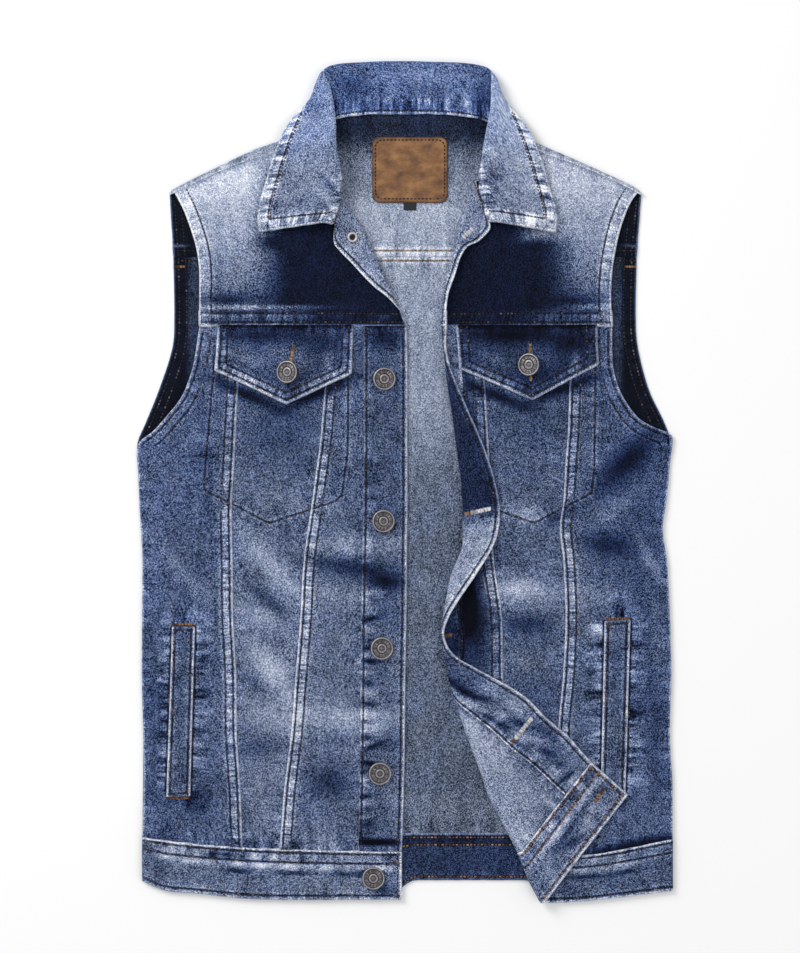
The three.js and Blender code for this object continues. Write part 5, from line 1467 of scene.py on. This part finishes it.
# What lies on the panels
FLAP_RISE = 2.6
FLAP_DEPTH = 56.0
FLAP_ROWS = (2.8, 8.6)
FLAPS = {
    "right": dict(top=(-167.0, -47.3), corner=(-169.6, -49.1), corner_y=(458, 455), tip=(-106.7, 428.1),
                  button=(-104.9, 456), tone=0.20, seed=32),
    "left": dict(top=(47.2, 171.5), corner=(49.8, 172.8), corner_y=(459.8, 463.5), tip=(114.3, 432),
                 button=(111.6, 462.6), tone=0.13, seed=33),
}
# Marks of a flap, with x from its point
FLAP_MARKS = [
    (0, 470, 0, 22, 12, 0.10), (-36, 447, -25, 26, 7, 0.16), (36, 447, 25, 26, 7, 0.12),
    (-34, 466, -20, 18, 6, 0.12), (38, 466, 80, 10, 4, 0.16), (-20, 489, 0, 34, 7, -0.12),
    (34, 482, 0, 18, 9, -0.08), (-40, 478, 0, 16, 8, 0.05),
]
TRIM_EDGE = (0, 0.7, 1.6)
FLAP_EDGE = (0, 0.7, 1.6, 3)


def flap(side, top, corner, corner_y, tip, tone, seed, **_):
    a, b = corner
    width = b - a
    t = (tip[0] - a) / width
    left = ladder(width * t, 3.0, FLAP_EDGE, (0,)) / width
    right = t + ladder(width * (1 - t), 3.0, (0,), FLAP_EDGE) / width
    u = np.concatenate([left, right[1:]])[None, :]
    v = (ladder(FLAP_DEPTH, 2.8, PLAIN, FLAP_EDGE) / FLAP_DEPTH)[:, None]
    low_y = np.where(u < t, mix(corner_y[0], tip[1], u / t), mix(tip[1], corner_y[1], (u - t) / (1 - t)))
    x = mix(mix(*top, u), mix(a, b, u), v)
    y = mix(YOKE_SEAM - GAP, low_y, v)
    plane = plane_of(x, y)
    ends = [(a, corner_y[0]), (b, corner_y[1])]
    outlines = [[ends[0], tip, ends[1]], [(top[0], YOKE_SEAM), ends[0]], [ends[1], (top[1], YOKE_SEAM)]]
    style = dict(band=10, rise=0.5, rope=0.6, ladder=1.2, reach=10, wear=0.6, wide=1.5, pucker=0.6,
                 rows=FLAP_ROWS)
    sides = [Side(*near_line(plane, np.array(line, float)), **style) for line in outlines]
    sides.append(Side(YOKE_SEAM - y, x, rope=0.9, reach=8, shadow=1.4))
    base = front_height(x, y) + FLAP_RISE + 0.5 * np.sin(np.pi * u) * v
    build(f"pocket_flap_{side}", lambda h: np.stack([x, y, base + h], -1), DOUBLE, sides,
          tone + marks(x - tip[0], y, FLAP_MARKS), plane, seed,
          rests_on=[f"front_mid_panel_{side}", f"front_center_panel_{side}"])


for side, shape in FLAPS.items():
    flap(side, **shape)

WELT_SIZE = (20.0, 152.0)
WELT_RISE = 1.6


def welt(side, seed):
    top_a, top_b, low_a, low_b = (np.array(p) for p in WELTS[side])
    width, length = WELT_SIZE
    u = (ladder(width, 2.2, TRIM_EDGE, TRIM_EDGE) / width)[None, :, None]
    v = (ladder(length, 2.6, TRIM_EDGE, TRIM_EDGE) / length)[:, None, None]
    plane = mix(mix(top_a, top_b, u), mix(low_a, low_b, u), v)
    x, y = plane[..., 0], plane[..., 1]
    over, along_it = np.broadcast_arrays(u[..., 0] * width, v[..., 0] * length)
    rim = dict(rope=0.6, reach=6, wear=0.6, wide=1.3, rows=(2.6, NO_ROW))
    end = dict(rope=0.4, reach=4, rows=(2.4, NO_ROW))
    sides = [Side(over, along_it, **rim), Side(width - over, along_it, **rim),
             Side(along_it, over, **end), Side(length - along_it, over, **end)]
    build(f"pocket_welt_{side}", laid_on_front(x, y, y, WELT_RISE), CLOTH, sides, 0.27, plane, seed,
          rests_on=[f"front_side_panel_{side}"])


welt("right", 34)
welt("left", 35)


def leather():
    """Worn brown leather: darker in its creases and round its rim."""
    n = Nodes("leather")
    creases = n.noise(n.scaled(n.cloth(), (0.8, 1.2, 1.0)), 0.09, 4.0, 0.6)
    pores = n.noise(n.cloth(), 1.4, 2.0, 0.6)
    value = creases + n.centred(pores, 0.35) + n.number("wear") * -0.35
    stops = [(0.1, (36, 24, 16)), (0.34, (88, 58, 34)), (0.52, (124, 84, 48)), (0.72, (152, 110, 66)),
             (1.0, (184, 146, 98))]
    return n.finish(n.ramp(value, stops), 0.6, creases + n.centred(pores, 0.4), 0.0006, 0.6)


def ribbon():
    """Black woven tape."""
    n = Nodes("ribbon")
    weave = n.noise(n.scaled(n.cloth(), (1.0, 3.0, 1.0)), 1.6, 1.0, 0.5)
    return n.finish(n.ramp(weave, [(0.3, (10, 11, 16)), (0.7, (34, 36, 46))]), 0.8)


def nickel():
    """Aged nickel, nearly black in its grooves and pale on its rims: tarnish together with painted shade and
    painted highlight from the shade of each profile ring.
    """
    n = Nodes("nickel")
    place = n.node("ShaderNodeTexCoord").outputs["Object"]
    value = n.number("shade") + n.centred(n.noise(place, 700.0, 3.0, 0.6), 0.5)
    stops = [(0.0, (12, 11, 14)), (0.3, (40, 38, 42)), (0.6, (92, 88, 92)), (1.0, (190, 186, 188))]
    n.shader.inputs["Metallic"].default_value = 0.55
    return n.finish(n.ramp(value, stops), 0.42)


LEATHER, RIBBON, NICKEL = leather(), ribbon(), nickel()
PLATE_EDGE = (0, 0.5, 1.2)


def plate(name, low, high, thickness, corner, material, slot, seed):
    """A thin plate with rounded corners, lying on the back yoke."""
    low, high = np.array(low), np.array(high)
    half, middle = (high - low) / 2, (high + low) / 2
    xx, yy = np.meshgrid(*(ladder(2 * size, 2.0, PLATE_EDGE, PLATE_EDGE) - size for size in half))
    dx, dy = np.abs(xx) - (half[0] - corner), np.abs(yy) - (half[1] - corner)
    both = (dx > 0) & (dy > 0)
    squeeze = np.where(both, np.maximum(dx, dy) / np.maximum(np.hypot(dx, dy), 1e-6), 1.0)
    x = np.where(both, np.sign(xx) * (half[0] - corner + dx * squeeze), xx) + middle[0]
    y = np.where(both, np.sign(yy) * (half[1] - corner + dy * squeeze), yy) + middle[1]
    edge = np.minimum(half[0] - np.abs(xx), half[1] - np.abs(yy))
    z = CLOTH + GAP
    sides = [Side(edge, x + y, rope=0.4, reach=5, wear=0.5)]
    build(name, lambda h: np.stack([x, y, z + h], -1), thickness, sides, 0.5, plane_of(x, y), seed,
          material=material, slot=slot, rests_on=["back_yoke"])


plate("neck_patch", (-28.8, 609), (37.8, 667), 1.5, 6.0, LEATHER, "leather", 36)
plate("size_tab", (-0.9, 602), (9.9, 608.7), 0.7, 0.3, RIBBON, "ribbon", 37)


# Buttons: radius, height and shade of their profiles, and the ring that carries ticks
MARKED = (5.2, 7.6)
TICKS = 0.45
CAP = [(0, 0, 0.3), (9.2, 0, 0.3), (10.0, 0.4, 0.3), (10.2, 1.1, 0.35), (10.2, 2.1, 0.45), (10.0, 2.7, 0.6),
       (9.6, 3.0, 0.85), (9.1, 3.05, 0.8), (8.6, 2.9, 0.5), (8.3, 2.6, 0.25), (8.0, 2.4, 0.4),
       (7.4, 2.35, 0.6), (6.4, 2.4, 0.55), (6.0, 2.45, 0.6), (5.4, 2.5, 0.65), (5.0, 2.4, 0.45),
       (4.8, 2.2, 0.2), (4.5, 2.1, 0.15), (4.2, 2.2, 0.4), (3.8, 2.5, 0.8), (3.0, 2.6, 0.75),
       (2.4, 2.5, 0.5), (1.9, 2.45, 0.45), (0.9, 2.55, 0.65), (0, 2.58, 0.7)]
HIDDEN_CAP = [(0, 0, 0.4), (8.4, 0, 0.4), (9.0, 0.5, 0.4), (9.0, 1.5, 0.6), (8.4, 2.0, 0.8), (0, 2.0, 0.6)]
STUD = [(0, 0, 0.5), (4.1, 0, 0.5), (4.6, 0.3, 0.8), (4.6, 0.8, 1.2), (4.1, 1.15, 1.4), (3.2, 1.1, 1.4),
        (2.6, 0.7, 0.3), (1.6, 0.5, 0.1), (0, 0.5, 0.2)]
FLAP_TILT = 0.4
FLAP_BASE = 3.53


def lathe(name, profile, place, tilt=0.0, segments=48):
    """A round piece of metal from rows of radius, height and shade; tilt leans it to one side."""
    angle = np.linspace(0, 2 * np.pi, segments, endpoint=False)
    radius, height, shade = np.array(profile[1:-1]).T
    ring = np.stack([radius[:, None] * np.cos(angle), radius[:, None] * np.sin(angle),
                     np.repeat(height[:, None], segments, 1)], -1).reshape(-1, 3)
    points = np.concatenate([[[0, 0, profile[0][1]]], ring, [[0, 0, profile[-1][1]]]])
    lean = np.array([[math.cos(tilt), 0, math.sin(tilt)], [0, 1, 0], [-math.sin(tilt), 0, math.cos(tilt)]])
    faces = []
    last = 1 + (len(radius) - 1) * segments
    for k in range(segments):
        after = (k + 1) % segments
        faces += [(0, 1 + after, 1 + k), (last + k, last + after, len(points) - 1)]
        for a in range(1, last, segments):
            faces.append((a + k, a + after, a + segments + after, a + segments + k))
    marked = ((radius > MARKED[0]) & (radius < MARKED[1]))[:, None]
    ticks = TICKS * (hashed(np.arange(segments), 1, 7) - 0.5)
    shades = np.concatenate([[profile[0][2]], (shade[:, None] + ticks * marked).ravel(), [profile[-1][2]]])
    add_piece(f"{name}_metal", in_frame(points @ lean + place), faces, {"shade": shades}, NICKEL, name,
              "nickel")


def cad_place(node):
    low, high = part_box(node)
    return np.array([(low.x + high.x) / 2, (low.y + high.y) / 2, low.z]) * 1000 + [ORIGIN[0], ORIGIN[1], 0]


for cap in ["button_1", "button_2", "button_3", "button_4", "button_waist"]:
    lathe(cap, CAP, cad_place(cap))
for side in FLAPS:
    cap = f"button_flap_{side}"
    lathe(cap, CAP, [*FLAPS[side]["button"], cad_place(cap)[2] + FLAP_BASE], FLAP_TILT)
lathe("button_top", HIDDEN_CAP, cad_place("button_top"))
lathe("stud_top", STUD, cad_place("stud_top"))


# Sewing
def thread_material(name, stops):
    n = Nodes(name)
    n.shader.inputs["Specular IOR Level"].default_value = 0.3
    return n.finish(n.ramp(n.number("twist"), stops), 0.75)


BROWN = thread_material("thread_brown", [(0.0, (14, 11, 15)), (0.6, (34, 28, 34)), (0.88, (66, 54, 54)),
                                         (1, (104, 96, 98))])
GOLD = thread_material("thread_gold", [(0.0, (96, 70, 42)), (0.5, (148, 114, 70)), (1.0, (190, 158, 112))])
RUST = thread_material("thread_rust", [(0.0, (52, 36, 26)), (0.5, (110, 76, 48)), (1.0, (166, 128, 86))])
PALE = thread_material("thread_pale", [(0.0, (150, 148, 152)), (0.5, (205, 203, 204)),
                                       (1.0, (238, 236, 234))])


def contour(name, side, d, face="outer", rows=False, keep=None, clear=()):
    """Line at distance d from one side of a piece, over its face, with the way up from the cloth."""
    piece = PIECES[name]
    top, low = piece[face], piece["inner" if face == "outer" else "outer"]
    up, dist = unit(top - low), piece["sides"][side]
    free = np.ones(dist.shape, bool)
    for other, limit in clear:
        free &= piece["sides"][other] >= limit
    if rows:
        top, up, dist, free = top.swapaxes(0, 1), up.swapaxes(0, 1), dist.T, free.T
    crossed = ((dist[:, :-1] - d) * (dist[:, 1:] - d) <= 0) & free[:, :-1] & free[:, 1:]
    found = crossed.any(1)
    i, k = np.nonzero(found)[0], crossed.argmax(1)[found]
    t = ((d - dist[i, k]) / np.where(dist[i, k + 1] == dist[i, k], 1, dist[i, k + 1] - dist[i, k]))[:, None]
    points, ups = mix(top[i, k], top[i, k + 1], t), mix(up[i, k], up[i, k + 1], t)
    if keep is not None:
        chosen = keep(points[:, 0], points[:, 1])
        points, ups = points[chosen], ups[chosen]
    return points, ups


def lines(name, sides, distances, face="outer", **options):
    """Contours at every distance from each of the sides."""
    return [contour(name, side, d, face, **options) for side in sides for d in distances]


TREES = {}


def dropped(path, name):
    """A path in the plane laid on a piece, seen from above."""
    if name not in TREES:
        piece = PIECES[name]
        TREES[name] = BVHTree.FromPolygons(piece["world"].tolist(), piece["faces"].tolist())
    path = np.array(path, float)
    step = np.linalg.norm(np.diff(path, axis=0), axis=1)
    run = np.concatenate([[0], np.cumsum(step)])
    at = np.linspace(0, run[-1], max(2, int(run[-1] / 1.5) + 1))
    points = []
    for x, y in zip(np.interp(at, run, path[:, 0]), np.interp(at, run, path[:, 1])):
        start = Vector(((x - ORIGIN[0]) / 1000, (y - ORIGIN[1]) / 1000, 0.1))
        hit = TREES[name].ray_cast(start, Vector((0, 0, -1)))[0]
        if hit is not None:
            points.append((x, y, hit.z * 1000))
    return np.array(points).reshape(-1, 3), np.array([(0.0, 0.0, 1.0)] * len(points)).reshape(-1, 3)


SIDES = 5
SECTIONS = (0.2, 0.8)
BEAD_LIFT = 0.05


def sew(name, rows, material, pitch=3.2, gap=0.6, width=0.68, height=0.42, sink=0.25, seed=1):
    """Thread stitches along rows of points, each a short bead that dips into the cloth at both ends."""
    vertices, faces, twist = [], [], []
    angle = np.linspace(0, 2 * np.pi, SIDES, endpoint=False)[None, :, None]
    size = 2 + 2 * SIDES
    for row, (points, ups) in enumerate(rows):
        if len(points) < 2:
            continue
        run = np.concatenate([[0], np.cumsum(np.linalg.norm(np.diff(points, axis=0), axis=1))])
        count = max(1, round(run[-1] / pitch))
        start = np.arange(count) * run[-1] / count
        stop = start + run[-1] / count - gap

        def at(line, s):
            return np.stack([np.interp(s, run, line[:, axis]) for axis in range(3)], -1)

        a, b = at(points, start), at(points, stop)
        short = np.linalg.norm(b - a, axis=1) < 3 * pitch
        a, b, middle = a[short], b[short], ((start + stop) / 2)[short]
        ahead = unit(b - a)
        up = at(ups, middle)
        up = unit(up - (up * ahead).sum(1, keepdims=True) * ahead)
        chance = hashed(np.arange(len(a)), row, seed)
        over = np.cross(ahead, up) * (0.85 + 0.3 * chance[:, None])
        section = np.cos(angle) * over[:, None, :] * width + np.sin(angle) * up[:, None, :] * height
        rings = [(mix(a, b, share) + up * BEAD_LIFT)[:, None, :] + section for share in SECTIONS]
        block = np.concatenate([(a - up * sink)[:, None, :], *rings, (b - up * sink)[:, None, :]], 1)
        base = sum(len(v) for v in vertices)
        vertices.append(block.reshape(-1, 3))
        for o in range(base, base + len(a) * size, size):
            for j in range(1, SIDES + 1):
                m = j % SIDES + 1
                faces += [(o, o + m, o + j), (o + j, o + m, o + SIDES + m, o + SIDES + j),
                          (o + SIDES + j, o + SIDES + m, o + size - 1)]
        twist.append(np.repeat(chance, size))
    add_piece(name, in_frame(np.concatenate(vertices)), faces, {"twist": np.concatenate(twist)}, material)


# Rows of sewing. The sides of a piece go by their number in its list.
BAND_ROWS = (1.9, 8.8)
INSIDE_ARM_ROWS = (4.0, 10.5)
# Beyond YOKE_END across, the back yoke's gold row is sewn in dark brown thread: painted shade in the
# armholes.
YOKE_END = 130
ARMHOLE = dict(keep=lambda x, y: y > 393)
sew("stitches_front_right", [
    *lines("front_side_panel_right", [1], BAND_ROWS), *lines("front_center_panel_right", [0], BAND_ROWS),
    contour("placket_right", 0, 1.8), contour("placket_right", 1, 3.0),
    *lines("front_side_panel_right", [0], HEM_ROWS, **ARMHOLE)], BROWN, seed=1)
sew("stitches_front_left", [
    *lines("front_side_panel_left", [1], BAND_ROWS), *lines("front_center_panel_left", [1], BAND_ROWS),
    *lines("front_side_panel_left", [0], HEM_ROWS, **ARMHOLE)], BROWN, seed=2)
FACES = ("inner", "outer")
sew("stitches_buttonhole_band", [
    contour("placket_left", edge, d, face) for edge, d in ((0, 3.2), (1, 2.0)) for face in FACES],
    BROWN, seed=3)
for k, side in enumerate(FLAPS):
    yoke, pocket = f"front_yoke_{side}", f"pocket_flap_{side}"
    sew(f"stitches_yoke_{side}", [
        *lines(yoke, [2], (3.0, 11.0), rows=True), contour(yoke, 1, 10.0), contour(yoke, 0, 3.2, "inner")],
        BROWN, seed=4 + k)
    flap_rows = [contour(pocket, 0, d, rows=True, clear=((1, d - 0.3), (2, d - 0.3))) for d in FLAP_ROWS]
    flap_rows += [contour(pocket, edge, d, clear=((0, d - 0.3),)) for edge in (1, 2) for d in FLAP_ROWS]
    sew(f"stitches_flap_{side}", flap_rows, BROWN, seed=6 + k)


def waistband_rows(name, face="outer", top=(2.2, 10.0), low=3.0):
    return [*lines(name, [0], top, face, rows=True), contour(name, 1, low, face, rows=True)]


sew("stitches_waistband_right", [
    *waistband_rows("waistband_front_right"), contour("waistband_front_right", 3, 3.0)], BROWN, seed=8)
sew("stitches_waistband_left", waistband_rows("waistband_front_left"), BROWN, seed=9)
sew("stitches_waistband_left_inside", [
    *waistband_rows("waistband_front_left", "inner"), contour("waistband_front_left", 2, 3.0, "inner")],
    RUST, seed=10)
outer_edge = lines("collar", [0], (9.0, 11.2), clear=((1, 9.3), (2, 9.3)), keep=lambda x, y: y < 690)
wings = [(points[chosen], ups[chosen]) for way in (-1, 1) for points, ups in outer_edge
         for chosen in [points[:, 0] * way > 0]]
sew("stitches_collar", [
    *wings, *lines("collar", (1, 2), [9.5], rows=True, clear=((0, 9.3),)),
    *[contour("collar", 3, 2.2, face) for face in FACES[::-1]]], BROWN, seed=11)
sew("stitches_back_yoke_inside", [
    contour("back_yoke", 0, 5.4, "inner", keep=lambda x, y: np.abs(x) < YOKE_END),
    contour("back_center_panel", 3, 3.6, "inner", rows=True)], GOLD, seed=12)
sew("stitches_waistband_back_inside", waistband_rows("waistband_back", "inner", (2.9, 9.5), 2.4), RUST,
    seed=13)
# The gold rows of the back yoke seam go on into the armholes in dark brown thread: painted shade.
sew("stitches_armholes_inside", [
    *lines("back_side_panel_right", [0], INSIDE_ARM_ROWS, "inner", keep=lambda x, y: y > 400),
    *lines("back_side_panel_left", [1], INSIDE_ARM_ROWS, "inner", keep=lambda x, y: y > 400),
    *lines("back_yoke", (2, 3), (4, 10), "inner", rows=True, keep=lambda x, y: y < 612),
    contour("back_yoke", 0, 5.4, "inner", keep=lambda x, y: x < -YOKE_END),
    contour("back_yoke", 0, 5.4, "inner", keep=lambda x, y: x > YOKE_END),
    *[contour(f"back_side_panel_{side}", 3, 3.6, "inner", rows=True) for side in FLAPS]], BROWN, seed=14)
sew("stitches_back_outside", [
    *lines("back_yoke", [0], (2.5, 9.0)), *lines("back_center_panel", (0, 1), BAND_ROWS),
    *waistband_rows("waistband_back", "outer", (2.5, 11.0), 2.4)], BROWN, height=0.28, seed=15)

for k, side in enumerate(FLAPS):
    crossed = ("side", "mid", "center") if side == "right" else ("side", "mid")
    sew(f"stitches_pocket_{side}", [
        *[dropped(POCKET_BAGS[side], f"front_{panel}_panel_{side}") for panel in crossed],
        dropped(welt_frame(side, FRAME_OUT), f"front_side_panel_{side}"),
        *lines(f"pocket_welt_{side}", (0, 1), [2.6]),
        *lines(f"pocket_welt_{side}", (2, 3), [2.4], rows=True)], BROWN, seed=20 + k)
PATCH_ROW = [(-22.6, 612), (31.6, 612), (35.6, 616), (35.6, 660.8), (31.6, 664.8), (-22.6, 664.8),
             (-26.6, 660.8), (-26.6, 616), (-22.6, 612)]
sew("stitches_patch", [dropped(PATCH_ROW, "neck_patch")], BROWN, pitch=3.4, seed=22)


# Bar tacks and buttonholes: short threads laid side by side across a line
def crossing(start, stop, name, half, step):
    """Rows of two points, square to the line from start to stop, on a piece seen from above."""
    a, b = np.array(start, float), np.array(stop, float)
    length = np.linalg.norm(b - a)
    ahead = (b - a) / length
    over = np.array([-ahead[1], ahead[0]])
    rows = []
    for k, t in enumerate(np.arange(0, length + 1e-6, step)):
        at = a + ahead * t
        reach = half * (0.8 + 0.4 * hashed(k, 3, length))
        lean = ahead * step * (hashed(k, 5, length) - 0.5)
        points, ups = dropped([at - over * reach - lean, at + over * reach + lean], name)
        if len(points) > 1:
            rows.append((points, ups))
    return rows


def bar_tacks(title, places, material, half=1.3, step=0.75):
    rows = [row for place in places for row in crossing(*place, half, step)]
    sew(title, rows, material, pitch=20.0, gap=0.0, width=0.42, height=0.5, seed=31)


bar_tacks("tacks_welts", [
    ((-209, 229.3), (-189, 229.3), "front_side_panel_right"),
    ((-213.5, 73), (-193.5, 73.5), "front_side_panel_right"),
    ((180.5, 233.8), (202, 234.6), "front_side_panel_left"),
    ((176.5, 76), (197.5, 76.5), "front_side_panel_left")], RUST)
bar_tacks("tacks_back_yoke", [
    ((-208, 551), (-198, 551), "back_side_panel_right"),
    ((198, 551), (208, 551), "back_side_panel_left")], RUST)
bar_tacks("tack_waistband", [((-13, 14), (-6, 17), "waistband_front_right")], RUST)
bar_tacks("holes_flaps", [
    ((-100, 480), (-103, 462), "pocket_flap_right"), ((112.5, 481), (112, 466), "pocket_flap_left"),
    ((113, 452), (113, 448), "pocket_flap_left")], GOLD, half=1.5)
bar_tacks("holes_band", [
    ((59, 329.5), (77, 333.5), "placket_left"), ((113.5, 145), (99, 127), "placket_left"),
    ((52.5, 577), (61, 585), "front_yoke_left"), ((36, 493), (36.5, 497), "placket_left")],
    PALE, half=2.4, step=0.85)
bar_tacks("holes_waistband", [
    ((178, 82), (170.5, 70), "waistband_front_left"), ((54, 328.5), (58.5, 329.5), "placket_left"),
    ((98.5, 126.5), (96, 123), "placket_left"), ((36, 219), (42, 220), "placket_left")], RUST, half=2.0)


# Stage: a white ground under soft light from all round, and two lamps that aim at the middle
FLOOR_SIZE = 6.0
WORLD_LIGHT = 0.62
LAMPS = [("key", (-1.5, 1.3, 1.5), 1.2, 38), ("fill", (1.8, -1.2, 2.2), 2.5, 20)]


def stage():
    mesh = bpy.data.meshes.new("floor")
    corners = [(x * FLOOR_SIZE, y * FLOOR_SIZE, FLOOR_Z) for x, y in [(-1, -1), (1, -1), (1, 1), (-1, 1)]]
    mesh.from_pydata(corners, [], [(0, 1, 2, 3)])
    floor = bpy.data.objects.new("floor", mesh)
    bpy.context.scene.collection.objects.link(floor)
    mesh.materials.append(Nodes("floor").finish((0.93, 0.93, 0.93, 1), 0.9))
    world = bpy.data.worlds.new("studio")
    bpy.context.scene.world = world
    world.use_nodes = True
    sky = world.node_tree.nodes["Background"].inputs
    sky["Color"].default_value = (1.0, 1.0, 1.0, 1)
    sky["Strength"].default_value = WORLD_LIGHT
    bpy.context.scene.view_settings.view_transform = "Standard"
    for name, place, width, energy in LAMPS:
        lamp = bpy.data.lights.new(name, "AREA")
        lamp.size = width
        lamp.energy = energy
        light = bpy.data.objects.new(name, lamp)
        light.location = place
        light.rotation_euler = (-Vector(place)).to_track_quat("-Z", "Y").to_euler()
        bpy.context.scene.collection.objects.link(light)


def camera():
    data = bpy.data.cameras.new("view")
    eye = bpy.data.objects.new("view", data)
    bpy.context.scene.collection.objects.link(eye)
    x = (VIEW_PIXEL[0] - ZERO_PIXEL[0]) * MM_PER_PIXEL - ORIGIN[0]
    y = (ZERO_PIXEL[1] - VIEW_PIXEL[1]) * MM_PER_PIXEL - ORIGIN[1]
    eye.location = (x / 1000, y / 1000, CAMERA_HEIGHT)
    data.sensor_width = SENSOR
    data.lens = SENSOR * CAMERA_HEIGHT / (FRAME_PIXELS[1] * MM_PER_PIXEL / 1000)
    bpy.context.scene.camera = eye


stage()
camera()
